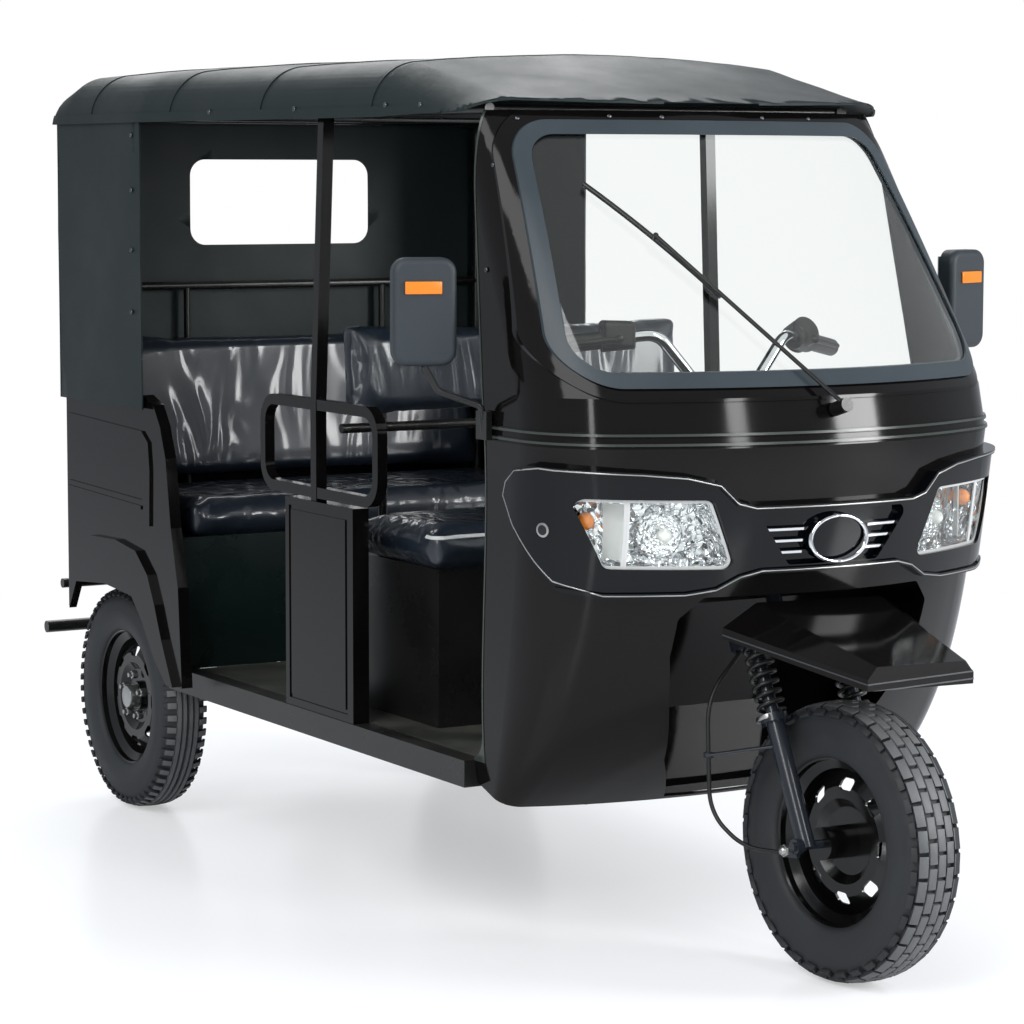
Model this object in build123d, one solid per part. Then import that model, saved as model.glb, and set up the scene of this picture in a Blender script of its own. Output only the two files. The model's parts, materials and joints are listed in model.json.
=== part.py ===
"""Electric passenger tricycle (auto rickshaw): tube and box-section frame, pressed cab,
canvas roof and rear curtain, two bench seats, raked front fork and three 12-inch wheels.

Lengths are millimetres, angles are degrees, +Z is up and +X is forward.
Every x below is measured forward from the rear axle and every z upward from the ground.
The finished pieces are shifted at the end, so that the origin is the centre of the footprint.
"""
from build123d import *
import os
from functools import lru_cache
from math import atan2, cos, radians, sin, sqrt, tan

os.makedirs("parts", exist_ok=True)

# ---------------------------------------------------------------- driving dimensions
WHEELBASE = 2110.0
TYRE_RADIUS = 255.0          # 3.75-12 tyre
TYRE_WIDTH = 108.0
RIM_FLANGE_RADIUS = 167.0    # 12-inch rim
RIM_BEAD_RADIUS = 152.0
RIM_HALF_WIDTH = 42.0
TRACK = 898.0                # between the middles of the rear tyres
FIT = 0.3                    # clearance between pieces that seat on each other

# sills, floor and frame
SILL_OUTER_Y = 500.0
SILL_WIDTH = 40.0
SILL_TOP = 364.0
SILL_HEIGHT = 51.0
SILL_REAR_X = 262.0
SILL_FRONT_X = WHEELBASE - 522.0
FLOOR_THICKNESS = 5.0
RAIL_Y = 210.0               # main rail, centre line
RAIL_WIDTH = 40.0
RAIL_HEIGHT = 60.0
CROSS_MEMBER = 40.0

# cab
PANEL = 8.0                  # cab panel with its inner flange
POST_X = WHEELBASE - 444.0   # rear edge of the cab at the waist
POST_TOP_X = WHEELBASE - 562.0
POST_FOOT_X = WHEELBASE - 486.0
WAIST_Z = 972.0
HEADER_Z = 1572.0
CAB_BOTTOM_Z = 272.0

# windscreen opening, half widths and heights of the seal's outer edge
SCREEN_BOTTOM_Z = 1078.0
SCREEN_TOP_Z = 1555.0
SCREEN_BOTTOM_HALF = 479.0
SCREEN_TOP_HALF = 412.0
SCREEN_CORNER = 85.0
SEAL_WIDTH = 27.0
SEAL_LIP = 12.0              # width of the seal that covers the panel
SEAL_PROUD = 9.0
GLASS = 5.0

# rear body
BODY_HALF = 556.0
BODY_REAR_X = -170.0
BODY_TOP_Z = 968.0
BODY_SHEET = 6.0

# roof
ROOF_HALF_REAR = BODY_HALF + 19.0
ROOF_HALF_FRONT = 470.0
ROOF_OVERHANG = 20.0         # the canvas hem beyond the header
ROOF_EDGE_Z = 1562.0
ROOF_CROWN_Z = 1698.0
ROOF_FRONT_X = WHEELBASE - 455.0
ROOF_BREAK_X = WHEELBASE - 860.0   # where the roof starts to fall to the front
CANVAS = 6.0
CURTAIN_FRONT_X = 288.0
CURTAIN_HEM_Z = 938.0
REAR_WINDOW_HALF = 236.0
REAR_WINDOW_LOW_Z = 1284.0
REAR_WINDOW_HIGH_Z = 1484.0
REAR_WINDOW_CORNER = 38.0

# side posts, hoops and partitions
SIDE_Y = 480.0
SIDE_POST_X = 958.0
SIDE_POST = 24.0
PARTITION_REAR_X = 842.0
PARTITION_FRONT_X = 1139.0
PARTITION_TOP_Z = 795.0
PARTITION_DEPTH = 36.0
PARTITION_MARGIN = 16.0      # pressed groove inside the edge
HOOP_REAR_X = 725.0
HOOP_FRONT_X = 1220.0
HOOP_LOW_Z = 812.0
HOOP_HIGH_Z = 990.0
HOOP_TUBE = 22.0
HOOP_CORNER = 48.0

# seats
BENCH_FRONT_X = 350.0
BENCH_TOP_Z = 735.0
BENCH_THICK = 78.0
BENCH_HALF = 486.0
BACKREST_TOP_Z = 1088.0
BACKREST_THICK = 55.0
BENCH_BACK_FOOT_X = -46.8    # front of the backrest at its foot
BENCH_BACK_TOP_X = -85.8
DRIVER_SEAT_FRONT_X = 1300.0
DRIVER_SEAT_REAR_X = 960.0
DRIVER_SEAT_TOP_Z = 762.0
DRIVER_SEAT_THICK = 82.0
DRIVER_SEAT_HALF = 405.0
DRIVER_BACK_TOP_Z = 1150.0
DRIVER_BACK_LOW_Z = 955.0

# steering
RAKE = 25.6                  # steering axis from the vertical
FORK_OFFSET = 34.0           # wheel centre ahead of the steering axis
STEER_AT_REST = 4.0          # parked with the wheel turned a little to the left
LEG_Y = 98.0
LEG_RADIUS = 17.0
STEM_RADIUS = 15.0
HEAD_TUBE_RADIUS = 26.0

# rear guard
BUMPER_X = -300.0
BUMPER_Z = 385.0
BUMPER_HALF = 560.0
BUMPER_TUBE = 28.0

# mirrors
MIRROR_X = WHEELBASE - 467.0
MIRROR_Y = 616.0
MIRROR_Z = 1207.0
MIRROR_WIDTH = 118.0
MIRROR_HEIGHT = 196.0
MIRROR_DEPTH = 34.0
MIRROR_TOE = 18.0

FOOTPRINT_CENTRE_X = (WHEELBASE + TYRE_RADIUS + BUMPER_X - BUMPER_TUBE / 2) / 2
SIDES = (("left", 1), ("right", -1))


# ---------------------------------------------------------------- small helpers
def block(x0, x1, y0, y1, z0, z1):
    """A box between two corners."""
    low_x, low_y, low_z = min(x0, x1), min(y0, y1), min(z0, z1)
    return Pos(low_x, low_y, low_z) * Box(
        abs(x1 - x0), abs(y1 - y0), abs(z1 - z0), align=(Align.MIN, Align.MIN, Align.MIN)
    )


def rod(start, end, radius, inner=0.0):
    """A round bar, or a tube, between two points."""
    a, b = Vector(*start), Vector(*end)
    plane = Plane(origin=a, z_dir=b - a)
    face = Circle(radius)
    if inner:
        face = face - Circle(inner)
    return extrude(plane * face, (b - a).length)


def bent_tube(points, radii, tube_radius):
    """A bar of round section along straight runs joined by arcs."""
    path = FilletPolyline(*points, radius=radii)
    start = path @ 0
    section = Plane(origin=start, z_dir=path % 0) * Circle(tube_radius)
    return sweep(section, path=path)


def side_prism(points, y0, y1):
    """An outline given as (x, z) points, extruded across the vehicle."""
    wire = Polyline(*[(x, 0, z) for x, z in points], close=True)
    face = make_face(wire)
    return Pos(0, y0, 0) * extrude(face, amount=y1 - y0, dir=(0, 1, 0))


def front_prism(face_yz, x0, x1):
    """A face drawn on the YZ plane, extruded along the vehicle."""
    return Pos(x0, 0, 0) * extrude(Plane.YZ * face_yz, amount=x1 - x0, dir=(1, 0, 0))


def fuse(pieces):
    """One shape from a list of pieces."""
    whole = pieces[0]
    for piece in pieces[1:]:
        whole = whole + piece
    return whole


def both_sides(piece):
    """A piece and its mirror image about the centre plane."""
    return piece + mirror(piece, about=Plane.XZ)


# ---------------------------------------------------------------- cab surface
# plan sections of the cab: height, half width, centre x, front radius, corner radius
WAIST = (WAIST_Z, 502.0, WHEELBASE - 43.0, 850.0, 200.0)
HEADER = (HEADER_Z, 462.0, WHEELBASE - 470.0, 1150.0, 80.0)
LOWER_SECTIONS = (
    (CAB_BOTTOM_Z, 463.0, WHEELBASE - 410.0, 2500.0, 40.0),
    (430.0, 484.0, WHEELBASE - 222.0, 1100.0, 120.0),
    (640.0, 491.0, WHEELBASE - 100.0, 850.0, 190.0),
    WAIST,
)
UPPER_SECTIONS = (WAIST, (1060.0, 498.0, WHEELBASE - 63.0, 850.0, 200.0), HEADER)
CAB_BACK_X = WHEELBASE - 630.0
NOSE_X = WHEELBASE + 40.0    # clear ahead of the cab, where its cuts end
LAMP_CUT_X = WHEELBASE - 310.0
GRILLE_CUT_X = WHEELBASE - 210.0


def plan_section(z, half, centre_x, front_radius, corner_radius, proud, back_x):
    """A plan outline: flat sides, tangent corner arcs and a front arc, grown by proud."""
    half, centre_x = half + proud, centre_x + proud
    front, corner = front_radius + proud, corner_radius + proud
    hub_x = centre_x - front
    side_x = hub_x + sqrt((front - corner) ** 2 - (half - corner) ** 2)
    aim = atan2(half - corner, side_x - hub_x)
    meet = (hub_x + front * cos(aim), front * sin(aim))
    half_way = (aim + radians(90)) / 2
    bend = (side_x + corner * cos(half_way), half - corner + corner * sin(half_way))
    outline = [
        Line((back_x, -half), (side_x, -half)),
        ThreePointArc((side_x, -half), (bend[0], -bend[1]), (meet[0], -meet[1])),
        ThreePointArc((meet[0], -meet[1]), (centre_x, 0), meet),
        ThreePointArc(meet, bend, (side_x, half)),
        Line((side_x, half), (back_x, half)),
        Line((back_x, half), (back_x, -half)),
    ]
    return Pos(0, 0, z) * make_face(outline)


@lru_cache(maxsize=None)
def cab_solid(sections, proud, back_x=CAB_BACK_X, ruled=False):
    """The cab's form between its sections, grown or shrunk by proud."""
    return loft([plan_section(*row, proud, back_x) for row in sections], ruled=ruled)


def cab_skin(sections, outer, inner, ruled=False):
    """The layer of the cab's surface between two offsets."""
    return cab_solid(sections, outer, ruled=ruled) - cab_solid(
        sections, inner, back_x=CAB_BACK_X - 10, ruled=ruled
    )


def rounded_trapezoid(low_half, high_half, low_z, high_z, corner):
    """A face on the YZ plane, drawn with y along the first axis."""
    outline = Polyline(
        (-low_half, low_z), (low_half, low_z), (high_half, high_z), (-high_half, high_z), close=True
    )
    face = make_face(outline)
    return fillet(face.vertices(), corner)


def screen_face(inset):
    """The windscreen outline, inset from the seal's outer edge."""
    return rounded_trapezoid(
        SCREEN_BOTTOM_HALF - inset,
        SCREEN_TOP_HALF - inset,
        SCREEN_BOTTOM_Z + inset,
        SCREEN_TOP_Z - inset,
        SCREEN_CORNER - inset,
    )


def screen_prism(inset):
    """The windscreen outline run through the front of the cab."""
    return front_prism(screen_face(inset), CAB_BACK_X + 10, NOSE_X)


# lamp outline, right of centre mirrored to the left: (y, z) corners
LAMP_CORNERS = ((198.0, 755.0), (420.0, 759.0), (474.0, 885.0), (250.0, 881.0))
LAMP_CORNER_RADIUS = 15.0
LAMP_DEPTH = 70.0
LENS_PROUD = 8.0
BEZEL_PROUD = 18.0
RIM_PROUD = 23.0             # the thin rim along the bezel's upper and lower edges
RIM_WIDTH = 8.0
BEZEL_HALF_OUTLINE = (
    (0.0, 746.0), (150.0, 746.0), (190.0, 736.0), (230.0, 714.0), (285.0, 706.0), (420.0, 706.0), (560.0, 726.0),
    (560.0, 940.0), (500.0, 938.0), (374.0, 932.0), (300.0, 925.0), (240.0, 911.0), (205.0, 878.0), (172.0, 869.0),
    (0.0, 869.0),
)
# the bezel's rear end, seen from the side: (distance behind the front axle, z)
BEZEL_END = ((255.0, 942.0), (318.0, 932.0), (352.0, 908.0), (364.0, 880.0), (334.0, 826.0), (278.0, 764.0), (244.0, 730.0), (190.0, 690.0))


def lamp_face(sign, grow=0.0):
    """A headlamp's outline on the YZ plane."""
    face = make_face(Polyline(*[(sign * y, z) for y, z in LAMP_CORNERS], close=True))
    face = fillet(face.vertices(), LAMP_CORNER_RADIUS)
    return offset(face, grow) if grow else face


def lamp_prism(sign, grow=0.0):
    """A headlamp's outline run along the vehicle."""
    return front_prism(lamp_face(sign, grow), LAMP_CUT_X, NOSE_X)


GRILLE_HALF_TOP = 168.0
GRILLE_HALF_LOW = 98.0
GRILLE_LOW_Z = 759.0
GRILLE_HIGH_Z = 857.0


def grille_face(grow=0.0):
    """The grille opening on the YZ plane."""
    return rounded_trapezoid(
        GRILLE_HALF_LOW + grow, GRILLE_HALF_TOP + grow, GRILLE_LOW_Z - grow, GRILLE_HIGH_Z + grow, 14 + grow
    )


# the wheel opening's right half: (y, z); it widens where the guard's sides swing
ARCH_POINTS = ((238.0, 702.0), (278.0, 662.0), (278.0, 590.0), (254.0, 500.0), (206.0, 375.0), (120.0, 262.0))
ARCH_CUT_X = WHEELBASE - 398.0


def arch_prism():
    """The opening in the lower cab for the fork and the front wheel."""
    right = [(y, z) for y, z in ARCH_POINTS]
    left = [(-y, z) for y, z in reversed(ARCH_POINTS)]
    face = make_face(Polyline(*right, *left, close=True))
    corners = face.vertices().sort_by(Axis.Y)[2:]
    return front_prism(fillet(corners, 16), ARCH_CUT_X, NOSE_X)


def lower_cowl():
    """The lower cab shell, below the waist seam."""
    shell = cab_skin(LOWER_SECTIONS, 0, -PANEL)
    back_x = CAB_BACK_X - 50
    doorway = side_prism(
        ((back_x, SILL_TOP), (POST_FOOT_X, SILL_TOP), (POST_X, WAIST_Z), (POST_X, WAIST_Z + 10), (back_x, WAIST_Z + 10)),
        -600, 600,
    )
    doorway = fillet(doorway.edges().filter_by(Axis.Y).group_by(Axis.Z)[0].sort_by(Axis.X)[-1], 60)
    below_sill = side_prism(
        ((back_x, 200), (back_x, SILL_TOP + 5), (SILL_FRONT_X + FIT, SILL_TOP + 5), (SILL_FRONT_X + FIT, CAB_BOTTOM_Z + 50),
         (SILL_FRONT_X + 122, CAB_BOTTOM_Z), (SILL_FRONT_X + 122, 200)),
        -600, 600,
    )
    shell = shell - doorway - below_sill - arch_prism()
    for _, sign in SIDES:
        shell = shell - lamp_prism(sign)
    return shell - front_prism(grille_face(-4), GRILLE_CUT_X, NOSE_X)


WAIST_BEADS_Z = (WAIST_Z + 4.0, WAIST_Z + 21.0)
BEAD_HEIGHT = 8.0
BEAD_PROUD = 4.0
SURROUND = 24.0              # width of the raised band round the windscreen's seal
HEADER_FLANGE = 45.0


def upper_cowl():
    """The upper cab shell with its pillars and header, around the windscreen."""
    shell = cab_skin(UPPER_SECTIONS, 0, -PANEL, ruled=True)
    raised = cab_skin(UPPER_SECTIONS, BEAD_PROUD, -1, ruled=True)
    back_x = CAB_BACK_X - 50
    beads = [raised & block(back_x, NOSE_X, -600, 600, z, z + BEAD_HEIGHT) for z in WAIST_BEADS_Z]
    band = raised & (screen_prism(-SURROUND) - screen_prism(-FIT))
    flange_face = plan_section(*HEADER, 0, CAB_BACK_X) - plan_section(*HEADER, -HEADER_FLANGE, back_x)
    flange = Pos(0, 0, -4) * extrude(flange_face, 4)
    rear_cut = side_prism(
        ((back_x, WAIST_Z - 5), (POST_X, WAIST_Z - 5), (POST_X, WAIST_Z), (POST_TOP_X, HEADER_Z),
         (POST_TOP_X, HEADER_Z + 5), (back_x, HEADER_Z + 5)),
        -600, 600,
    )
    return fuse([shell, *beads, band, flange]) - rear_cut - screen_prism(SEAL_LIP)


def windscreen_seal():
    """The rubber seal that holds the glass."""
    ring = screen_prism(0) - screen_prism(SEAL_WIDTH)
    outer = cab_skin(UPPER_SECTIONS, SEAL_PROUD, FIT, ruled=True)
    inner = cab_skin(UPPER_SECTIONS, FIT, -PANEL - 4, ruled=True) & (
        screen_prism(SEAL_LIP + FIT) - screen_prism(SEAL_WIDTH)
    )
    groove = cab_skin(UPPER_SECTIONS, 2 + GLASS / 2, 2 - GLASS / 2, ruled=True) & screen_prism(SEAL_WIDTH - 9)
    return (outer & ring) + inner - groove


def windscreen_glass():
    """The bent glass, seated in the seal's groove."""
    return cab_skin(UPPER_SECTIONS, 2 + GLASS / 2 - FIT / 2, 2 - GLASS / 2 + FIT / 2, ruled=True) & screen_prism(
        SEAL_WIDTH - 9 + FIT
    )


def lamp_bezel():
    """The moulding that joins both headlamps and frames the grille."""
    half = list(BEZEL_HALF_OUTLINE)
    outline = half + [(-y, z) for y, z in reversed(half[1:-1])]
    face = make_face(Polyline(*outline, close=True))
    back_x = CAB_BACK_X - 50
    end_line = [(WHEELBASE - back, z) for back, z in BEZEL_END]
    end_cut = side_prism(
        ((back_x, 1000), (end_line[0][0], 1000), *end_line, (end_line[-1][0], 600), (back_x, 600)), -700, 700
    )
    outer = front_prism(face, CAB_BACK_X + 20, NOSE_X)
    bezel = cab_skin(LOWER_SECTIONS, BEZEL_PROUD, FIT) & outer
    rim = cab_skin(LOWER_SECTIONS, RIM_PROUD, BEZEL_PROUD - 1) & (
        outer - front_prism(offset(face, -RIM_WIDTH), CAB_BACK_X + 20, NOSE_X)
    )
    bezel = bezel + rim - end_cut
    for _, sign in SIDES:
        bezel = bezel - lamp_prism(sign, FIT)
    return bezel - front_prism(grille_face(), GRILLE_CUT_X, NOSE_X)


def headlamps():
    """Both headlamps: the lens follows the cab's surface, the body stands behind it."""
    front = cab_solid(LOWER_SECTIONS, LENS_PROUD)
    body = front - Pos(-LAMP_DEPTH, 0, 0) * front
    return fuse([body & lamp_prism(sign, -FIT) for _, sign in SIDES])


OVAL_WIDTH = 130.0
OVAL_HEIGHT = 84.0
OVAL_Z = 803.0
SLAT_HEIGHT = 6.0
SLAT_GAP = 21.0


def grille():
    """A recessed plate with thin slats and a plain oval boss on its ring."""
    mouth = front_prism(grille_face(-FIT), GRILLE_CUT_X, NOSE_X)
    plate = cab_skin(LOWER_SECTIONS, 3, FIT) & mouth
    slats = [
        cab_skin(LOWER_SECTIONS, 12, 2) & mouth & block(GRILLE_CUT_X, NOSE_X, -200, 200, z, z + SLAT_HEIGHT)
        for z in (OVAL_Z + SLAT_GAP * step - SLAT_HEIGHT / 2 for step in (-1, 0, 1))
    ]
    oval = Pos(0, OVAL_Z) * Ellipse(OVAL_WIDTH / 2, OVAL_HEIGHT / 2)
    boss = cab_skin(LOWER_SECTIONS, BEZEL_PROUD, 2) & front_prism(oval, GRILLE_CUT_X, NOSE_X)
    return fuse([plate, *slats, boss])


# ---------------------------------------------------------------- steering geometry
def steer_axis_point(z):
    """A point on the steering axis at a height."""
    low_x = WHEELBASE - FORK_OFFSET / cos(radians(RAKE))
    return (low_x - (z - TYRE_RADIUS) * tan(radians(RAKE)), 0, z)


STEER_ORIGIN = steer_axis_point(700.0)
STEER_AXIS = Axis(STEER_ORIGIN, (-sin(radians(RAKE)), 0, cos(radians(RAKE))))
STEER_PLANE = Plane(origin=steer_axis_point(TYRE_RADIUS), x_dir=(cos(radians(RAKE)), 0, sin(radians(RAKE))), z_dir=STEER_AXIS.direction)


def steered(piece):
    """A steering piece, turned to the parked angle."""
    return piece.rotate(STEER_AXIS, STEER_AT_REST)


def along_fork(along, across, ahead=0.0):
    """A point in the fork's own frame: up the axis, sideways and ahead of the axis."""
    return tuple(STEER_PLANE.from_local_coords(Vector(ahead, across, along)))


# heights along the steering axis, from the level of the wheel centre
LEG_LOW = -22.0
SLIDER_TOP = 215.0
COLLAR = 14.0
LOWER_YOKE = 365.0
YOKE_THICK = 22.0
HEAD_LOW = 500.0
HEAD_HIGH = 690.0
STEM_TOP = 857.0
AXLE_RADIUS = 8.0
AXLE_END_Y = 132.0


def fork_rod(low, high, across, ahead, radius):
    """A round bar parallel to the steering axis."""
    return rod(along_fork(low, across, ahead), along_fork(high, across, ahead), radius)


def fork():
    """Yoke, stem, both legs and the wheel spindle, clamped as one."""
    stem_high = fork_rod(LOWER_YOKE, STEM_TOP, 0, 0, STEM_RADIUS)
    spindle = rod((WHEELBASE, -AXLE_END_Y, TYRE_RADIUS), (WHEELBASE, AXLE_END_Y, TYRE_RADIUS), AXLE_RADIUS)
    yoke_face = Pos(FORK_OFFSET / 2, 0) * RectangleRounded(FORK_OFFSET + 48, 2 * (LEG_Y + 24), 22)
    yoke = extrude(STEER_PLANE.offset(LOWER_YOKE) * yoke_face, YOKE_THICK)
    pieces = [stem_high, spindle, yoke]
    for sign in (1, -1):
        across = sign * LEG_Y
        pieces.append(fork_rod(LEG_LOW, SLIDER_TOP, across, FORK_OFFSET, LEG_RADIUS))
        pieces.append(fork_rod(SLIDER_TOP, SLIDER_TOP + COLLAR, across, FORK_OFFSET, LEG_RADIUS + 9))
        pieces.append(fork_rod(SLIDER_TOP, LOWER_YOKE + 10, across, FORK_OFFSET, LEG_RADIUS - 4))
        nut_y = sign * (LEG_Y + LEG_RADIUS - 3)
        pieces.append(rod((WHEELBASE, nut_y, TYRE_RADIUS), (WHEELBASE, nut_y + sign * 14, TYRE_RADIUS), 14))
    return fuse(pieces + [cable_stop(), cable_guide()])


SPRING_COILS = 7
SPRING_WIRE = 4.0


def fork_springs():
    """Coil springs round the legs, between the sliders' collars and the yoke."""
    springs = []
    low, high = SLIDER_TOP + COLLAR + FIT, LOWER_YOKE - FIT
    rise = high - low - 2 * SPRING_WIRE
    radius = LEG_RADIUS + 2 + SPRING_WIRE
    for sign in (1, -1):
        coil = Helix(pitch=rise / SPRING_COILS, height=rise, radius=radius)
        wire = sweep(Plane(origin=coil @ 0, z_dir=coil % 0) * Circle(SPRING_WIRE), path=coil, is_frenet=True)
        seat = Plane(
            origin=along_fork(low + SPRING_WIRE, sign * LEG_Y, FORK_OFFSET),
            x_dir=STEER_PLANE.x_dir, z_dir=STEER_PLANE.z_dir,
        )
        springs.append(seat * wire)
    return fuse(springs)


# front mudguard, back and front: x, half width, edge z, ridge z, ridge half width
GUARD_SECTIONS = (
    (WHEELBASE - 106.0, 221.0, 642.0, 684.0, 146.0),
    (WHEELBASE + 180.0, 123.0, 580.0, 602.0, 103.0),
)
GUARD_SHEET = 5.0
GUARD_RIM = 20.0


def guard_section(row, sheet):
    """A section across the guard: drooping sides, two ridges and a rim, shrunk by sheet."""
    x, half, edge_z, ridge_z, ridge_half = row
    rim_z = edge_z - (60 if sheet else GUARD_RIM)
    points = [
        (x, -half + sheet, edge_z - sheet / 2), (x, -ridge_half, ridge_z - sheet), (x, ridge_half, ridge_z - sheet),
        (x, half - sheet, edge_z - sheet / 2), (x, half - sheet, rim_z), (x, -half + sheet, rim_z),
    ]
    return make_face(Polyline(*points, close=True))


def front_mudguard():
    """A faceted blade guard on a tongue that is bolted to the yoke."""
    outer = loft([guard_section(row, 0) for row in GUARD_SECTIONS], ruled=True)
    rear, front = GUARD_SECTIONS
    shrunk = ((rear[0] + GUARD_SHEET, *rear[1:]), (front[0] - GUARD_SHEET, *front[1:]))
    hollow = loft([guard_section(row, GUARD_SHEET) for row in shrunk], ruled=True)
    seat = STEER_PLANE.offset(LOWER_YOKE + YOKE_THICK + FIT)
    tongue = extrude(seat * (Pos(70, 0) * Rectangle(180, 90)), GUARD_SHEET)
    hang_x = GUARD_SECTIONS[0][0]
    tongue = tongue - block(hang_x + 30, hang_x + 190, -100, 100, 500, 800)
    hanger = block(hang_x, hang_x + 30, -45, 45, 640, 675) & extrude(seat * (Pos(90, 0) * Rectangle(260, 90)), 60)
    stem_hole = fork_rod(300, 520, 0, 0, STEM_RADIUS + FIT)
    return (outer - hollow) + ((tongue + hanger) - stem_hole)


# handlebar centre line, left half: x, y, z
BAR_CLAMP_X, BAR_CLAMP_Z = WHEELBASE - 400.0, 1050.0
BAR_POINTS = (
    (BAR_CLAMP_X, 0.0, BAR_CLAMP_Z), (BAR_CLAMP_X, 60.0, BAR_CLAMP_Z), (BAR_CLAMP_X - 20, 152.0, 1153.0),
    (BAR_CLAMP_X - 122, 352.0, 1124.0),
)
BAR_RADIUS = 11.0
GRIP_LENGTH = 118.0
GRIP_RADIUS = 17.0


def handlebar():
    """Swept-back bar with its clamp on the stem."""
    left = bent_tube(BAR_POINTS, [28, 44], BAR_RADIUS)
    bore = fork_rod(STEM_TOP - 60, STEM_TOP + FIT, 0, 0, STEM_RADIUS + FIT)
    clamp = fork_rod(STEM_TOP - 44, STEM_TOP + 16, 0, 0, 25)
    link = block(BAR_CLAMP_X - 34, BAR_CLAMP_X + 8, -22, 22, BAR_CLAMP_Z - 16, BAR_CLAMP_Z + 16)
    return both_sides(left) + ((clamp + link) - bore)


def bar_stretch(sign, back_from, back_to, radius):
    """A round stretch along the bar's last run, measured back from its end."""
    bend, end = Vector(*BAR_POINTS[2]), Vector(*BAR_POINTS[3])
    way = (end - bend).normalized()
    start, stop = end - way * back_from, end - way * back_to
    return rod((start.X, sign * start.Y, start.Z), (stop.X, sign * stop.Y, stop.Z), radius)


SWITCH_LENGTH = 62.0
POD_RADIUS = 29.0


def hand_controls():
    """Grips, the right switch block, the left instrument pod and both levers."""
    bend, end = Vector(*BAR_POINTS[2]), Vector(*BAR_POINTS[3])
    way = (end - bend).normalized()
    ahead = Vector(0, 0, 1).cross(way).normalized() * -1
    pieces = []
    for sign in (1, -1):
        grip = bar_stretch(sign, GRIP_LENGTH, -4, GRIP_RADIUS) + bar_stretch(
            sign, GRIP_LENGTH + SWITCH_LENGTH, GRIP_LENGTH, GRIP_RADIUS + 6
        )
        perch = end - way * (GRIP_LENGTH + SWITCH_LENGTH / 2)
        knuckle, reach, tip = perch + ahead * 14, perch + ahead * 32, end - way * 36 + ahead * 30
        side = [tuple(Vector(spot.X, sign * spot.Y, spot.Z)) for spot in (knuckle, reach, tip)]
        lever = rod(side[0], side[1], 8) + rod(side[1], side[2], 5.5) + Pos(*side[1]) * Sphere(8)
        head = Pos(perch.X, sign * perch.Y, perch.Z + 8)
        if sign > 0:
            head = head * Rot(0, 62, 0) * Cylinder(POD_RADIUS, 42)
        else:
            turn = Rot(0, 0, -25)
            head = head * turn * fillet(Box(58, SWITCH_LENGTH, 50).edges(), 8)
        pieces.append(grip + lever + head - bar_stretch(sign, GRIP_LENGTH + 2 * SWITCH_LENGTH, 0, BAR_RADIUS + FIT))
    return fuse(pieces)


# brake cable on the right of the wheel: stop on the leg, loop behind it, guide and yoke
CABLE_POINTS = (
    (WHEELBASE - 22.0, -128.0, 240.0), (WHEELBASE - 105.0, -158.0, 238.0), (WHEELBASE - 182.0, -177.0, 290.0),
    (WHEELBASE - 202.0, -176.0, 500.0), (WHEELBASE - 205.0, -98.0, 581.0),
)
CABLE_RADIUS = 4.0
CABLE_STOP_RADIUS = 7.0
GUIDE_HEIGHT = 172.0         # where the cable guide is clamped, along the fork


def route_radii(points):
    """The largest arcs that each corner's two runs allow."""
    spots = [Vector(*point) for point in points]
    radii = []
    for before, corner, after in zip(spots, spots[1:], spots[2:]):
        turn = radians((corner - before).get_angle(after - corner))
        shorter = min((corner - before).length, (after - corner).length)
        radii.append(0.45 * shorter / tan(turn / 2))
    return radii


def brake_cable():
    """Front brake cable from its stop on the right leg up to the yoke."""
    above_yoke = fork_rod(LOWER_YOKE - FIT, LOWER_YOKE + 60, 0, 0, 400)
    return bent_tube(CABLE_POINTS, route_radii(CABLE_POINTS), CABLE_RADIUS) - above_yoke


def cable_guide():
    """The arm on the right leg, with the eye that holds the cable."""
    low, high = Vector(*CABLE_POINTS[2]), Vector(*CABLE_POINTS[3])
    eye, way = (low + high) / 2, (high - low).normalized()
    foot = Vector(*along_fork(GUIDE_HEIGHT, -LEG_Y, FORK_OFFSET))
    arm = Plane(origin=foot, z_dir=eye - foot)
    length = (eye - foot).length
    blade = extrude(arm * RectangleRounded(22, 5, 2), length)
    ring = rod(tuple(eye - way * 5), tuple(eye + way * 5), CABLE_RADIUS + 5)
    return blade + ring - rod(tuple(eye - way * 30), tuple(eye + way * 30), CABLE_RADIUS + FIT)


def cable_stop():
    """The stop on the right leg that the cable runs into."""
    end, following = Vector(*CABLE_POINTS[0]), Vector(*CABLE_POINTS[1])
    way = (end - following).normalized()
    return rod(tuple(end + way * FIT), tuple(end + way * 28), CABLE_STOP_RADIUS)


# ---------------------------------------------------------------- wheels
CASING = 11.0                # tyre wall
FLANGE_SEAT = 4.0            # cone of the rim flange: rise over this width


def revolved(outline):
    """A ring about the Y axis from (radius, y) points."""
    return revolve(make_face(Polyline(*[(r, y, 0) for r, y in outline], close=True)), Axis.Y)


def wheel_tyre():
    """A hollow tyre centred on the origin, axis along Y."""
    half = TYRE_WIDTH / 2
    bead_r, bead_y = RIM_BEAD_RADIUS + 4 + 2 * FIT, RIM_HALF_WIDTH - FLANGE_SEAT - 2 * FIT
    outer = [
        (bead_r, -bead_y), (RIM_FLANGE_RADIUS + 3, -RIM_HALF_WIDTH), (205, -half), (232, -half + 1),
        (247, -half + 9), (TYRE_RADIUS, -22),
    ]
    inner = [
        (TYRE_RADIUS - CASING, -20), (238, -half + CASING + 6), (205, -half + CASING),
        (RIM_FLANGE_RADIUS + 6, -RIM_HALF_WIDTH + CASING + 2), (bead_r, -bead_y + CASING),
    ]
    right = [(r, -y) for r, y in reversed(outer)]
    right_inner = [(r, -y) for r, y in reversed(inner)]
    return revolved(outer + right + right_inner + inner)


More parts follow.
